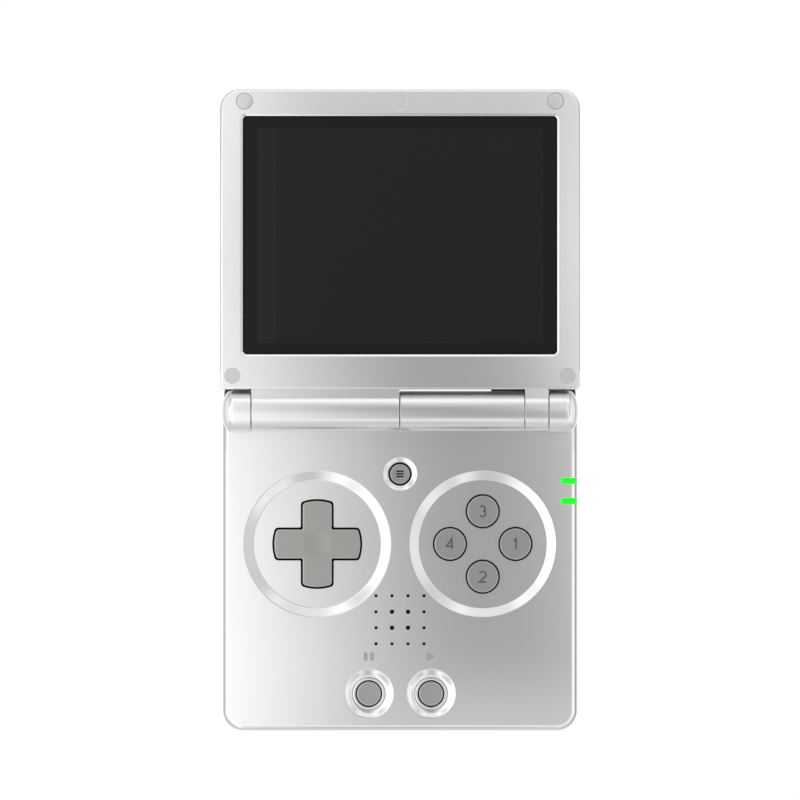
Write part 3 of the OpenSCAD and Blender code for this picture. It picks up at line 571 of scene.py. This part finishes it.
# profiles of the round dishes, as (radius, height)
BIG_DISH = [(DISH_R + 0.5, FACE), (DISH_R, FACE), (DISH_FLAT, DISH_FLOOR), (DISH_PLATE, DISH_FLOOR)]
MENU_DISH = [(4.5, FACE), (4.2, FACE), (3.05, FACE - 0.66), (2.87, FACE - 0.72), (2.87, UNDER_FACE)]
OPTION_DISH = [
    (6.3, FACE), (6.02, FACE), (4.75, FACE - 0.8), (4.2, FACE - 1), (4.08, FACE - 1), (4.08, UNDER_FACE),
]
# lips of openings, as (inset, height)
CROSS_LIP = [(-0.06, DISH_FLOOR), (0, DISH_FLOOR), (0, DISH_FLOOR - 0.1)]
ACTION_LIP = [(-0.3, DISH_FLOOR), (0, DISH_FLOOR), (0, DISH_FLOOR - 0.3)]
ENGRAVED = [(-0.04, FACE), (0.0, FACE - 0.12)]

outline = rounded((-BASE_X, -REACH), (BASE_X, REAR), BASE_CORNERS)
wall = Wall(outline)
notches = [
    (wall.place(BASE_X, NOTCH_Y), wall.place(NOTCH_X, REAR)),
    (wall.place(-NOTCH_X, REAR), wall.place(-BASE_X, NOTCH_Y)),
]


def cross(centre, arm, r, corner=0.75):
    """The pad's outline: four arms whose ends are arcs about the middle."""
    half, steps, inner_corner = arm / 2, 12, 0.35
    tip = math.degrees(math.asin(half / r))
    quarter = np.concatenate([arc((0, 0), r, -tip, tip, steps), [(half, half)]])
    turned = []
    for k in range(4):
        c, s = math.cos(k * math.pi / 2), math.sin(k * math.pi / 2)
        turned.append(quarter @ np.array([[c, s], [-s, c]]))
    loop = np.concatenate(turned)
    sizes = {0: corner, steps: corner, steps + 1: inner_corner}
    made = []
    for i in range(len(loop)):
        size = sizes.get(i % len(quarter))
        if size is None:
            made.append(loop[i : i + 1])
        else:
            a, b, c = loop[i - 1], loop[i], loop[(i + 1) % len(loop)]
            s = b + (a - b) * min(size / np.linalg.norm(a - b), 0.9)
            e = b + (c - b) * min(size / np.linalg.norm(c - b), 0.9)
            t = np.linspace(0, 1, 6)[:, None]
            made.append(s * (1 - t) ** 2 + 2 * b * t * (1 - t) + e * t**2)
    return np.concatenate(made) + np.array(centre)


def side(y, sign=1):
    """Distance along the outline at y on the right side, or on the left with sign -1."""
    return wall.place(sign * BASE_X, y)


def slot_loop(u0, u1, z0, z1, r):
    return rounded((min(u0, u1), z0), (max(u0, u1), z1), [r] * 4, 4)


# front shell: rounded top edge, face with its openings, side wall
skin = Skin()
openings = []


def opening(loop, profile, floor=None):
    """Cuts a shaped opening into the face, with a floor in a slot if one is given."""
    openings.append(inset(loop, profile[0][0]))
    through(skin, loop, profile)
    if floor is not None:
        skin.plate(inset(loop, profile[-1][0]), [], profile[-1][1], floor)


def dish(centre, points, round_by, steps):
    """A round opening through (radius, height) points, of which the second is its edge."""
    r = points[1][0]
    opening(circle(centre, r, steps), [(r - a, z) for a, z in soften(points, round_by)])


def dish_floor(centre, holes, lip, round_by):
    """The floor of a big dish. Its openings have a softened lip, and their walls below it carry painted
    shade.
    """
    for h in holes:
        through(skin, h, soften(lip, round_by))
        through(skin, h, [lip[-1], (0, UNDER_FACE)], 1)
    skin.plate(circle(centre, DISH_PLATE, DISH_STEPS), [inset(h, lip[0][0]) for h in holes], DISH_FLOOR)


through(skin, outline, [(d, FACE - below) for d, below in round_edge(TOP_EDGE, 7)])
for centre in (PAD, ACTION):
    dish(centre, BIG_DISH, 0.15, DISH_STEPS)

# floors of the two dishes, with painted shade in the gap round the pad and each action button
cross_hole = cross(PAD, CROSS_ARM + 2 * CROSS_GAP, CROSS_REACH + CROSS_GAP, 0.9)
dish_floor(PAD, [cross_hole], CROSS_LIP, 0.05)
action_at = [middle_mm(f"action_button_{s}")[:2] for s in ("right", "rear", "left", "front")]
dish_floor(ACTION, [circle(at, ACTION_HOLE_R, 72) for at in action_at], ACTION_LIP, 0.12)

dish(MENU, MENU_DISH, 0.12, 72)
for c in OPTIONS:
    dish(c, OPTION_DISH, 0.25, 96)
for i in range(4):
    for j in range(4):
        r = SPEAKER_WIDE if i in (1, 2) and j in (1, 2) else SPEAKER_NARROW
        at = SPEAKER + SPEAKER_PITCH * np.array([i - 1.5, j - 1.5])
        opening(circle(at, r, 24), [(0, FACE), (0, FACE - WALL)])

# shallow marks over the option buttons: two bars on the left, an arrow on the right
MARK_Y = -60.7
PAUSE_APART = 0.8
PAUSE_HALF = np.array([0.4, 0.95])
ARROW = [(-1, -1), (0.9, 0), (-1, 1)]
option_x = OPTIONS[1][0]
for x in (-option_x - PAUSE_APART, -option_x + PAUSE_APART):
    bar = rounded((x, MARK_Y) - PAUSE_HALF, (x, MARK_Y) + PAUSE_HALF, [0.15] * 4, 2)
    opening(bar, ENGRAVED, floor=2)
arrow = soften([(option_x + x, MARK_Y + y) for x, y in ARROW], 0.2, 2, closed=True)
opening(arrow, ENGRAVED, floor=2)

# troughs under the lid's knuckles
trough_y = math.sqrt(TROUGH_R**2 - (AXIS - FACE) ** 2)
trough_end = math.degrees(math.atan2(-(AXIS - FACE), trough_y))
for x0, x1 in ((-TROUGH_X, KNUCKLES["base"][0]), (KNUCKLES["base"][1], TROUGH_X)):
    openings.append(np.array([(x0, -trough_y), (x1, -trough_y), (x1, trough_y), (x0, trough_y)]))
    curve = arc((0, AXIS), TROUGH_R, -180 - trough_end, trough_end, 12)
    rows = [skin.points([(x, y, z) for y, z in curve]) for x in (x0, x1)]
    skin.band(*rows, closed=False)
    for r in rows:
        skin.faces.append(tuple(r))
        skin.slots.append(0)
skin.plate(inset(outline, TOP_EDGE), openings, FACE)

# openings in the side wall: (its two ends, its heights, corner radius)
POWER_SLOT = (-40.2, -30.8), (10.5, 13.7), 0.7
CARD_SLOT = (-66.9, -55.1), (10.6, 12.0), 0.25
ROCKER_SLOT = (-31.35, -12.65), (10.45, 13.75), 0.3
USB_PORT = (4.75, -4.75), (10.3, 13.75), 1.6
VIDEO_PORT = (-6.6, -18.2), (10.3, 13.75), 1.6
RESET_Y, RESET_Z, RESET_R = -45.4, 12.1, 1.4


def side_slot(ends, heights, r, sign=1):
    """A slot in the right side, or in the left with sign -1."""
    return slot_loop(*(side(y, sign) for y in ends), *heights, r)


def rear_slot(ends, heights, r):
    return slot_loop(*(wall.place(x, REAR) for x in ends), *heights, r)


side_holes = [
    side_slot(*POWER_SLOT),
    circle((side(RESET_Y), RESET_Z), RESET_R, 32),
    side_slot(*CARD_SLOT),
    side_slot(*CARD_SLOT, sign=-1),
    side_slot(*ROCKER_SLOT, sign=-1),
    rear_slot(*USB_PORT),
    rear_slot(*VIDEO_PORT),
]
front_notches = [(a, b, SEAM - 1, NOTCH_Z[1]) for a, b in notches]
wall.build(skin, SEAM + GROOVE, FACE - TOP_EDGE, side_holes, front_notches, WALL)
wall.seam(skin, notches, 1)
skin.piece("case_front", "base", [SILVER, PAINTED_SHADE_AND_PRINT, INLAY], ["base_front_shell"])

# rear shell: side wall, rounded bottom edge, underside with its recesses
JACK_X, JACK_Z, JACK_R = -24, 5.95, 2.35
DOOR_GAP = 0.12
DOOR_LENGTH = 46
DOOR_DEPTH = 1.25
TAB_R = 3.12
FEET_X, FEET_Y = (-33, 33), (-70, -2.8)
FOOT_R, FOOT_DEPTH = 3.08, 0.3
SCREWS_Y = (-74.5, -50.5, -6)
SCREW_HEAD_R, SCREW_R, SCREW_DEPTH = 1.9, 2.1, 3.4

skin = Skin()
rear_notches = [(a, b, NOTCH_Z[0], SEAM + 1) for a, b in notches]
jack = circle((wall.place(JACK_X, -REACH), JACK_Z), JACK_R, 40)
wall.build(skin, FOOT + BOTTOM_EDGE, SEAM - GROOVE, [jack], rear_notches, WALL)
wall.seam(skin, notches, -1)
through(skin, outline, [(d, FOOT + below) for d, below in round_edge(BOTTOM_EDGE, 8)])
under = []


def recess(loop, depth):
    """A flat recess in the underside, with a softened lip."""
    under.append(inset(loop, -0.25))
    through(skin, loop, soften([(-0.25, FOOT), (0, FOOT), (0, FOOT + depth)], 0.15))
    skin.plate(loop, [], FOOT + depth)


door_low, door_high = box_mm("battery_door")
tab = middle_mm("battery_door_screw")[:2]
door_left, door_right = door_low[0] - DOOR_GAP, door_high[0] + DOOR_GAP
door_near, door_far = door_high[1] - DOOR_LENGTH - DOOR_GAP, door_high[1] + DOOR_GAP
door = [
    (door_left, door_near), (tab[0] - TAB_R + 0.02, door_near),
    *arc(tab, TAB_R, 180, 360, 24),
    (tab[0] + TAB_R - 0.02, door_near), (door_right, door_near),
    (door_right, door_far), (door_left, door_far),
]
recess(np.array(door), DOOR_DEPTH)
for x in FEET_X:
    for y in FEET_Y:
        recess(circle((x, y), FOOT_R, 48), FOOT_DEPTH)
screw_x = box_mm("rear_case_screws")[1][0] - SCREW_HEAD_R
for x in (-screw_x, screw_x):
    for y in SCREWS_Y:
        recess(circle((x, y), SCREW_R, 48), SCREW_DEPTH)
skin.plate(inset(outline, BOTTOM_EDGE), under, FOOT)
skin.piece("case_rear", "base", [SILVER], ["base_rear_shell"])

# ---------------------------------------------------------------- hinge

CAP_R = BARREL_R + 0.1
END_RING = 2.2
DOME = 2.75
DOME_POWER = 0.87
# the neck between knuckle and lid, as (distance from the axis, height from it)
NECK = [(1.5, -1.5), (6.2, -1.5), (6.2, 3.28), (5.7, 3.37), (3.3, 3.78), (1.5, 3.78)]


def barrel(name, body, x0, x1, r, replaces=(), neck=False, domed=False):
    """A round knuckle along the hinge axis, with a domed end or a neck to the lid if it has one."""
    skin = Skin()
    flip = -1 if x1 < x0 else 1
    middle = (x0 + x1) / 2
    rows = soften([(r - END_RING, x0), (r, x0), (r, middle)], 0.15).tolist()
    if domed:
        for a in np.radians(np.linspace(0, 86, 20)):
            back = DOME * (1 - math.sin(a) ** DOME_POWER)
            rows.append((r * math.cos(a) ** DOME_POWER, x1 - flip * back))
    else:
        rows += soften([(r, middle), (r, x1), (r - END_RING, x1)], 0.15)[1:].tolist()
    skin.plate(circle((0, AXIS), rows[0][0]), [], x0)
    skin.lathe((0, AXIS), rows)
    if neck:
        section = soften([(y, AXIS + z) for y, z in NECK], 0.12, 2, closed=True)
        skin.plate(section, [], x0)
        skin.loft([(section, x0), (section, x1)])
        skin.plate(section, [], x1)
    return skin.piece(name, body, [SILVER_ROLLED], replaces, along_x=True)


barrel("knuckle_base", "base", *KNUCKLES["base"], KNUCKLE_R)
barrel("knuckle_lid_long", "lid", *KNUCKLES["lid_long"], KNUCKLE_R, neck=True)
barrel("knuckle_lid_short", "lid", *KNUCKLES["lid_short"], KNUCKLE_R, neck=True)
barrel("hinge_cap_right", "base", CAP_LOW[0], CAP_HIGH[0], CAP_R, ["right_hinge_cap"], domed=True)
barrel("hinge_cap_left", "base", -CAP_LOW[0], -CAP_HIGH[0], CAP_R, ["left_hinge_cap"], domed=True)

# ---------------------------------------------------------------- lid

LID_EDGE = 0.6
LID_CORNER = 4.7
LID_NEAR_TOP = 5.4
LID_BACK_EDGE = 3.0
NEAR_CORNER = 1.3
NEAR_DISC_R = 1.945
NEAR_HOLE_R = NEAR_DISC_R + 0.01
WINDOW_GAP = 0.05
WINDOW_LIP = [(-0.75, LID_TOP), (-0.6, LID_TOP), (0, LID_TOP - 0.3), (0, LID_TOP - 1.3)]
FAR_MARK_Y, FAR_MARK_R = 76.4, 1.9
FAR_MARK_LIP = [(-0.1, LID_TOP), (0, LID_TOP - 0.04), (0.15, LID_TOP - 0.05)]
lid_far = (LID_X, LID_HIGH[1])
lid_outline = rounded((-LID_X, LID_LOW[1]), lid_far, (NEAR_CORNER, NEAR_CORNER, LID_CORNER, LID_CORNER))
lid_rim = rounded((-LID_X, LID_NEAR_TOP), lid_far, (1.0, 1.0, LID_CORNER, LID_CORNER))
disc_far = [(s * 38.45, 76.7) for s in (-1, 1)]
disc_near = [(s * 41.45, 8.8) for s in (-1, 1)]

# front bezel
skin = Skin()
rows = [(inset(lid_outline, d), LID_SEAM + away) for d, away in reversed(SEAM_LIP)]
rows += [(inset(lid_rim, d), LID_TOP - below) for d, below in round_edge(LID_EDGE, 5)]
skin.loft(rows)
window = rounded(GLASS_LOW[:2] - WINDOW_GAP, GLASS_HIGH[:2] + WINDOW_GAP, [1.0] * 4, 8)
through(skin, window, soften(WINDOW_LIP, 0.1))
holes = [inset(window, WINDOW_LIP[0][0])]
for c in disc_near:
    holes.append(circle(c, NEAR_HOLE_R, 48))
    skin.loft([(circle(c, NEAR_HOLE_R, 48), z) for z in (LID_TOP, LID_TOP - 0.6)])
mark = circle((0, FAR_MARK_Y), FAR_MARK_R, 48)
holes.append(inset(mark, FAR_MARK_LIP[0][0]))
through(skin, mark, FAR_MARK_LIP)
skin.plate(inset(mark, FAR_MARK_LIP[-1][0]), [], FAR_MARK_LIP[-1][1])
skin.plate(inset(lid_rim, LID_EDGE), holes, LID_TOP)
skin.piece("lid_front", "lid", [SILVER], ["lid_front_bezel"])

# back shell
skin = Skin()
rows = [(inset(lid_outline, d), LID_SEAM - away) for d, away in reversed(SEAM_LIP)]
for a in np.radians(np.linspace(0, 90, 9)):
    curl = 1 - math.cos(a)
    side_in, near_in = LID_BACK_EDGE * curl, 1.5 * curl
    near_r, far_r = NEAR_CORNER - 0.9 * curl, LID_CORNER - side_in
    loop = rounded(
        (-LID_X + side_in, LID_LOW[1] + near_in), (LID_X - side_in, LID_HIGH[1] - side_in),
        (near_r, near_r, far_r, far_r),
    )
    rows.append((loop, LID_LOW[2] + LID_BACK_EDGE * (1 - math.sin(a))))
skin.loft(rows)
skin.plate(rows[-1][0], [], LID_LOW[2])
skin.piece("lid_back", "lid", [SILVER], ["lid_back_shell"])

# cover glass: black rim and border round the picture area, whose left edge is a little paler; all of it glows
# faintly with painted light
PICTURE_X = 35.3
PICTURE_Y = (16.9, 70.0)
PALE_TO = -30.6
CHAMFER = 0.12
RIM_WIDTH = 0.45
skin = Skin()
sheet = rounded(GLASS_LOW[:2], GLASS_HIGH[:2], [1.0] * 4, 8)
top = GLASS_HIGH[2]
skin.plate(sheet, [], GLASS_LOW[2], 1)
skin.loft([(sheet, GLASS_LOW[2]), (sheet, top - CHAMFER), (inset(sheet, CHAMFER), top)], 1)
picture = rounded((-PICTURE_X, PICTURE_Y[0]), (PICTURE_X, PICTURE_Y[1]), [0.3] * 4, 3)
pale = rounded((-PICTURE_X, PICTURE_Y[0]), (PALE_TO, PICTURE_Y[1]), [0.1] * 4, 2)
skin.loft([(inset(sheet, CHAMFER), top), (inset(sheet, RIM_WIDTH), top)], 1)
skin.plate(inset(sheet, RIM_WIDTH), [picture], top, 0)
skin.plate(picture, [pale], top, 2)
skin.plate(pale, [], top, 3)
skin.piece("cover_glass", "lid", [BORDER, RIM, PICTURE, PICTURE_EDGE], ["screen_glass"])

# corner discs: domed at the far corners, flat near the hinge. Profiles are (radius, height over the lid)
FAR_FOOT = [(2.1, -0.3), (2.1, 0.02), (1.9, 0.03)]
FAR_DOME = [(1.9, 0.03), (1.86, 0.08), (1.75, 0.14), (1.4, 0.21), (0.8, 0.25)]
NEAR_DISC = [(NEAR_DISC_R, -0.5), (NEAR_DISC_R, -0.02), (1.9, 0), (1.2, 0.01)]


def on_lid(profile):
    return [(r, LID_TOP + up) for r, up in profile]


skin = Skin()
for c in disc_far:
    skin.lathe(c, on_lid(FAR_FOOT), 48, slot=2, lid=False)
    skin.lathe(c, on_lid(FAR_DOME), 48)
for c in disc_near:
    skin.lathe(c, on_lid(NEAR_DISC), 48, slot=1)
skin.piece("corner_discs", "lid", [DISC_CLEAR, DISC, INLAY], ["lid_bumpers"])

# ---------------------------------------------------------------- controls

ACTION_R, ACTION_FLANGE = 3.87, 4.7
OPTION_R, OPTION_FLANGE = 3.03, 4.6
MENU_R, MENU_FLANGE = 2.47, 3.5
FLANGE_THICK = 0.6
CAP_SIDE = 1.2
MARK_LIFT = 0.012
DIGIT_SIZE = 0.93
DIGIT_WIDTH = 0.42
DIGITS = {
    1: [[(-0.5, 0.75), (0.15, 1.4), (0.15, -1.4)]],
    2: [[*arc((0, 0.55), 0.85, 160, -35, 9), (-0.85, -1.4), (0.95, -1.4)]],
    3: [[*arc((-0.05, 0.68), 0.72, 150, -70, 9)], [*arc((-0.05, -0.62), 0.8, 75, -150, 10)]],
    4: [[(0.95, -0.6), (-0.95, -0.6), (0.45, 1.4), (0.45, -1.4)]],
}
BAR_HALF, BAR_STEP, BAR_WIDTH = 0.9, 0.66, 0.36


def ribbon(skin, path, width, height, slot):
    """A flat stroke along a path, lying at height(x, y)."""
    p = np.array(path, float)
    step = np.diff(p, axis=0)
    n = np.stack([-step[:, 1], step[:, 0]], 1) / np.linalg.norm(step, axis=1, keepdims=True)
    m = np.vstack([n[:1], (n[1:] + n[:-1]) / (1 + (n[1:] * n[:-1]).sum(1, keepdims=True)), n[-1:]])
    sides = [p + m * width / 2, p - m * width / 2]
    rows = [skin.points([(x, y, height(x, y)) for x, y in s]) for s in sides]
    skin.band(*rows, slot, closed=False)


def button(name, body, r, flange, material, edge=0.35, hollow=0.12, digit=None, bars=False):
    """A round button with a rounded rim and a slightly hollow top, and its mark."""
    skin = Skin()
    centre = middle_mm(body)[:2]
    low, top = box_mm(body)[0][2], box_mm(body)[1][2]
    inner = r - edge

    def where(x, y):
        return top + MARK_LIFT - hollow * (1 - ((x - centre[0]) ** 2 + (y - centre[1]) ** 2) / inner**2)

    stem = [(flange, low), (flange, low + FLANGE_THICK), (r, low + FLANGE_THICK + 0.1), (r, top - CAP_SIDE)]
    rim = [(r - d, top - below) for d, below in round_edge(edge, 5)]
    rows = [(inner * k, top - hollow * (1 - k * k)) for k in (1, 0.8, 0.55, 0.3, 0.1)]
    # the flange and stem carry painted shade, seen through the gap round the cap
    skin.lathe(centre, stem, 72, slot=2, lid=False)
    # the rounded rim carries the painted highlight
    skin.lathe(centre, [(r, top - CAP_SIDE), *rim], 72, slot=3, lid=False)
    skin.lathe(centre, rows, 72)
    if digit:
        for stroke in DIGITS[digit]:
            ribbon(skin, np.array(stroke) * DIGIT_SIZE + centre, DIGIT_WIDTH, where, 1)
    if bars:
        for dy in (-BAR_STEP, 0, BAR_STEP):
            ribbon(skin, [centre + (-BAR_HALF, dy), centre + (BAR_HALF, dy)], BAR_WIDTH, where, 2)
    skin.piece(name, body, [material, MARK_GREY, PAINTED_SHADE_AND_PRINT, PAINTED_RIM_HIGHLIGHT], [body])


for digit, place in enumerate(("right", "front", "rear", "left"), 1):
    button(f"action_cap_{place}", f"action_button_{place}", ACTION_R, ACTION_FLANGE, ACTION_GREY, digit=digit)
for place in ("left", "right"):
    body = f"option_button_{place}"
    button(f"option_cap_{place}", body, OPTION_R, OPTION_FLANGE, PAD_GREY, edge=0.4, hollow=0.2)
button("menu_cap", "menu_button", MENU_R, MENU_FLANGE, ACTION_GREY, edge=0.25, bars=True)

# rings round the option buttons, as (radius, height)
skin = Skin()
ring_low, ring_high = (corner[2] for corner in box_mm("option_button_rings"))
RING = [
    (5.2, ring_low), (5.2, UNDER_FACE - 0.02), (4.0, UNDER_FACE),
    (4.0, ring_high - 0.25), (3.92, ring_high - 0.08), (3.75, ring_high),
    (3.5, ring_high), (3.36, ring_high - 0.08), (3.3, ring_high - 0.25), (3.3, ring_low),
]
for c in OPTIONS:
    skin.lathe(c, RING, 72, lid=False)
skin.piece("option_rings", "base", [SILVER], ["option_button_rings"])

# direction pad, with a round hollow in the middle whose profile is (share of its radius, depth)
PAD_EDGE = 0.35
PAD_STEM_TOP = DISH_FLOOR - 0.5
PAD_PLATE_R, PAD_PLATE = 11.5, 0.8
DIMPLE_R = 3.45
DIMPLE = [(1.04, 0), (1.01, 0.01), (0.97, 0.04)]
DIMPLE += [(k, 0.8 * (1 - k * k)) for k in (0.93, 0.85, 0.75, 0.62, 0.48, 0.32, 0.16)]
skin = Skin()
pad_low, pad_top = (corner[2] for corner in box_mm("dpad"))
pad_shape = cross(PAD, CROSS_ARM - 0.1, CROSS_REACH - 0.05)
# the pad's lower sides and its flange carry painted shade, seen through the gap round it
through(skin, pad_shape, [(0, pad_low + PAD_PLATE), (0, PAD_STEM_TOP)], 1)
pad_rim = [(d, pad_top - below) for d, below in round_edge(PAD_EDGE, 5)]
# the upper sides and rounded rim carry the painted highlight
through(skin, pad_shape, [(0, PAD_STEM_TOP), *pad_rim], 2)
skin.lathe(PAD, [(DIMPLE_R * k, pad_top - deep) for k, deep in DIMPLE], 72)
skin.plate(inset(pad_shape, PAD_EDGE), [circle(PAD, DIMPLE_R * DIMPLE[0][0], 72)], pad_top)
skin.lathe(PAD, [(PAD_PLATE_R, pad_low), (PAD_PLATE_R, pad_low + PAD_PLATE)], 96, slot=1)
skin.piece("direction_pad", "dpad", [PAD_GREY, PAINTED_SHADE_AND_PRINT, PAINTED_RIM_HIGHLIGHT], ["dpad"])

# two lit windows that wrap over the right edge
LIGHTS_Y = (-17.2, -22.2)
LIGHT_HALF = 0.77
LIGHT_START = 39.9
LIGHT_FOOT = 12.6
LIGHT_THICK = 0.12
PROUD = 0.03
skin = Skin()
edge_rows = [(LIGHT_START, FACE + PROUD - 0.1), (LIGHT_START, FACE + PROUD)]
for d, below in reversed(round_edge(TOP_EDGE, 7)):
    edge_rows.append((BASE_X - d + PROUD, FACE - below + PROUD * (d / TOP_EDGE)))
edge_rows += [(BASE_X + PROUD, LIGHT_FOOT), (BASE_X - 0.1, LIGHT_FOOT)]
for y in LIGHTS_Y:
    ends = (y - LIGHT_HALF, y + LIGHT_HALF)
    rows = [skin.points([(x, end, z) for x, z in edge_rows]) for end in ends]
    skin.band(*rows, closed=False)
    deep = [skin.points([(x - LIGHT_THICK, end, z - LIGHT_THICK) for x, z in edge_rows]) for end in ends]
    for a, b in zip(rows, deep):
        skin.band(a, b, closed=False)
lights = skin.piece("light_windows", "base", [LIGHT], ["status_light_pipes"])
lights.visible_glossy = False

# ---------------------------------------------------------------- table and light


def maths(tree, operation, a, b):
    m = node(tree, "ShaderNodeMath", operation=operation)
    for i, x in enumerate((a, b)):
        if isinstance(x, (int, float)):
            m.inputs[i].default_value = x
        else:
            tree.links.new(x, m.inputs[i])
    return m.outputs[0]


def glowing(name, strength):
    """A material that only shines. Returns it and its emission node."""
    made = bpy.data.materials.new(name)
    made.use_nodes = True
    t = made.node_tree
    t.nodes.clear()
    glow = node(t, "ShaderNodeEmission")
    glow.inputs["Color"].default_value = (1, 1, 1, 1)
    glow.inputs["Strength"].default_value = strength
    t.links.new(glow.outputs[0], node(t, "ShaderNodeOutputMaterial").inputs[0])
    return made, glow


def stage_plane(name, corners, material):
    """A flat sheet that lights the scene or lies under it, through four corners in millimetres."""
    mesh = bpy.data.meshes.new(name)
    mesh.from_pydata([tuple(c * MM for c in p) for p in corners], [], [(0, 1, 2, 3)])
    mesh.materials.append(material)
    o = bpy.data.objects.new(name, mesh)
    bpy.context.scene.collection.objects.link(o)
    return o


def level_square(half, z):
    return [(-half, -half, z), (half, -half, z), (half, half, z), (-half, half, z)]


white, _ = glowing("white_sweep", 1.02)
floor = stage_plane("table_top", level_square(3000, 0), white)
floor.visible_glossy = False

# the room round the table: brighter to the near and far side, dimmer to the right, bright below
RIGHTWARDS = -0.10
ONWARDS = 0.24
BELOW_FROM, BELOW_TO = -0.7, -1.0
ROOM_LEVEL, BELOW_LEVEL = 0.50, 1.2
world = bpy.data.worlds.new("studio")
bpy.context.scene.world = world
world.use_nodes = True
t = world.node_tree
facing = node(t, "ShaderNodeSeparateXYZ")
t.links.new(node(t, "ShaderNodeTexCoord").outputs["Generated"], facing.inputs[0])
sideways = maths(t, "MULTIPLY", facing.outputs[0], RIGHTWARDS)
onwards = maths(t, "MULTIPLY", maths(t, "ABSOLUTE", facing.outputs[1], 0), ONWARDS)
below = remap(t, facing.outputs[2], BELOW_FROM, BELOW_TO, ROOM_LEVEL, BELOW_LEVEL)
level = maths(t, "ADD", maths(t, "ADD", sideways, onwards), below)
t.links.new(level, t.nodes["Background"].inputs[1])
t.nodes["Background"].inputs[0].default_value = (1, 1, 1, 1)

# a wide glowing card over the table, bright to the left and to the far side: (place in millimetres, level)
CARD_Z = 120
CARD_HALF = 400
CARD_POWER = 1.6
ACROSS = [
    (-400, 0.42), (-265, 0.48), (-230, 0.92), (-100, 0.95), (-60, 0.90), (-42, 0.74), (-30, 0.60),
    (-12, 0.42), (0, 0.31), (10, 0.25), (20, 0.235), (30, 0.255), (43, 0.335), (53, 0.57), (63, 0.58),
    (73, 0.82), (80, 0.82), (90, 0.46), (108, 0.40), (128, 0.40), (145, 0.43), (162, 0.56),
    (178, 0.66), (205, 0.74), (240, 0.95), (275, 0.90), (310, 0.48), (400, 0.42),
]
ALONG = [
    (-400, 0.34), (-176, 0.34), (-156, 0.58), (-142, 0.70), (-114, 0.68), (-96, 0.50), (-77, 0.405),
    (-57, 0.2), (0, 0.1), (20, 0.1), (50, 0.34), (77, 0.42), (116, 0.62), (160, 0.75), (200, 0.80),
    (240, 0.95), (290, 0.90), (330, 0.45), (400, 0.42),
]
# how far the levels across lean over, in millimetres, by distance from the hinge
SLANT = [
    (-400, 12), (-180, 12), (-120, 0), (-80, -3), (-62, -5), (-50, -2),
    (-10, 0), (10, 9), (40, 12), (80, 8), (400, 8),
]
SLANT_RANGE = 40
# the card's far corners are dimmer, by the product of these two
CORNERS_X = [(-400, 1), (-105, 1), (-80, 0), (185, 0), (210, 1), (400, 1)]
CORNERS_Y = [(-400, 1), (-172, 1), (-146, 0), (50, 0), (80, 1), (400, 1)]
CORNER_DIM = 0.5


def ramp_of(tree, place, stops):
    """The level at a place on the card, along stops of (millimetres, level)."""
    spread = remap(tree, place, -CARD_HALF * MM, CARD_HALF * MM, 0, 1)
    ramp = node(tree, "ShaderNodeValToRGB")
    ramp.color_ramp.interpolation = "EASE"
    marks = ramp.color_ramp.elements
    for i, (at, level) in enumerate([stops[0], stops[-1], *stops[1:-1]]):
        e = marks[i] if i < 2 else marks.new((at + CARD_HALF) / (2 * CARD_HALF))
        e.color = (level, level, level, 1)
    tree.links.new(spread, ramp.inputs[0])
    return ramp.outputs[0]


paper, glow = glowing("light_card", 1)
t = paper.node_tree
spot = node(t, "ShaderNodeSeparateXYZ")
t.links.new(node(t, "ShaderNodeNewGeometry").outputs["Position"], spot.inputs[0])
spot_x, spot_y = spot.outputs[0], spot.outputs[1]
slant = ramp_of(t, spot_y, [(y, 0.5 + lean / SLANT_RANGE) for y, lean in SLANT])
slant = maths(t, "MULTIPLY", maths(t, "SUBTRACT", slant, 0.5), SLANT_RANGE * MM)
across = ramp_of(t, maths(t, "ADD", spot_x, slant), ACROSS)
along = ramp_of(t, spot_y, ALONG)
corner = maths(t, "MULTIPLY", ramp_of(t, spot_x, CORNERS_X), ramp_of(t, spot_y, CORNERS_Y))
corner = maths(t, "MULTIPLY", corner, CORNER_DIM)
lit = maths(t, "MULTIPLY", maths(t, "MAXIMUM", across, along), maths(t, "SUBTRACT", 1, corner))
t.links.new(maths(t, "MULTIPLY", lit, CARD_POWER), glow.inputs["Strength"])
card = stage_plane("light_card", level_square(CARD_HALF, CARD_Z), paper)
card.visible_camera = False

# small glowing cards: one beside each hinge cap, and one above the right side of the base
CAP_CARD_X = 50
CAP_CARD_YZ = [(-10, 19.7), (10, 19.7), (10, 29), (-10, 29)]
EDGE_CARD = [(62, -82, 45), (92, -82, 45), (92, -8, 45), (62, -8, 45)]
bright, _ = glowing("edge_glow", 1.35)
for name, corners, material in (
    ("cap_card_left", [(-CAP_CARD_X, y, z) for y, z in CAP_CARD_YZ], white),
    ("cap_card_right", [(CAP_CARD_X, y, z) for y, z in CAP_CARD_YZ], white),
    ("edge_card", EDGE_CARD, bright),
):
    stage_plane(name, corners, material).visible_camera = False

# ---------------------------------------------------------------- camera

LENS = 1200
SENSOR = 36
VIEW_WIDTH = 197.8
VIEW_Y = 2.8
data = bpy.data.cameras.new("camera")
data.lens = LENS
data.sensor_width = SENSOR
data.clip_start, data.clip_end = 0.05, 50
camera = bpy.data.objects.new("camera", data)
bpy.context.scene.collection.objects.link(camera)
camera.location = (0, VIEW_Y * MM, (LID_TOP + VIEW_WIDTH * LENS / SENSOR) * MM)
bpy.context.scene.camera = camera
bpy.context.scene.view_settings.view_transform = "Standard"
bpy.context.scene.cycles.use_denoising = True
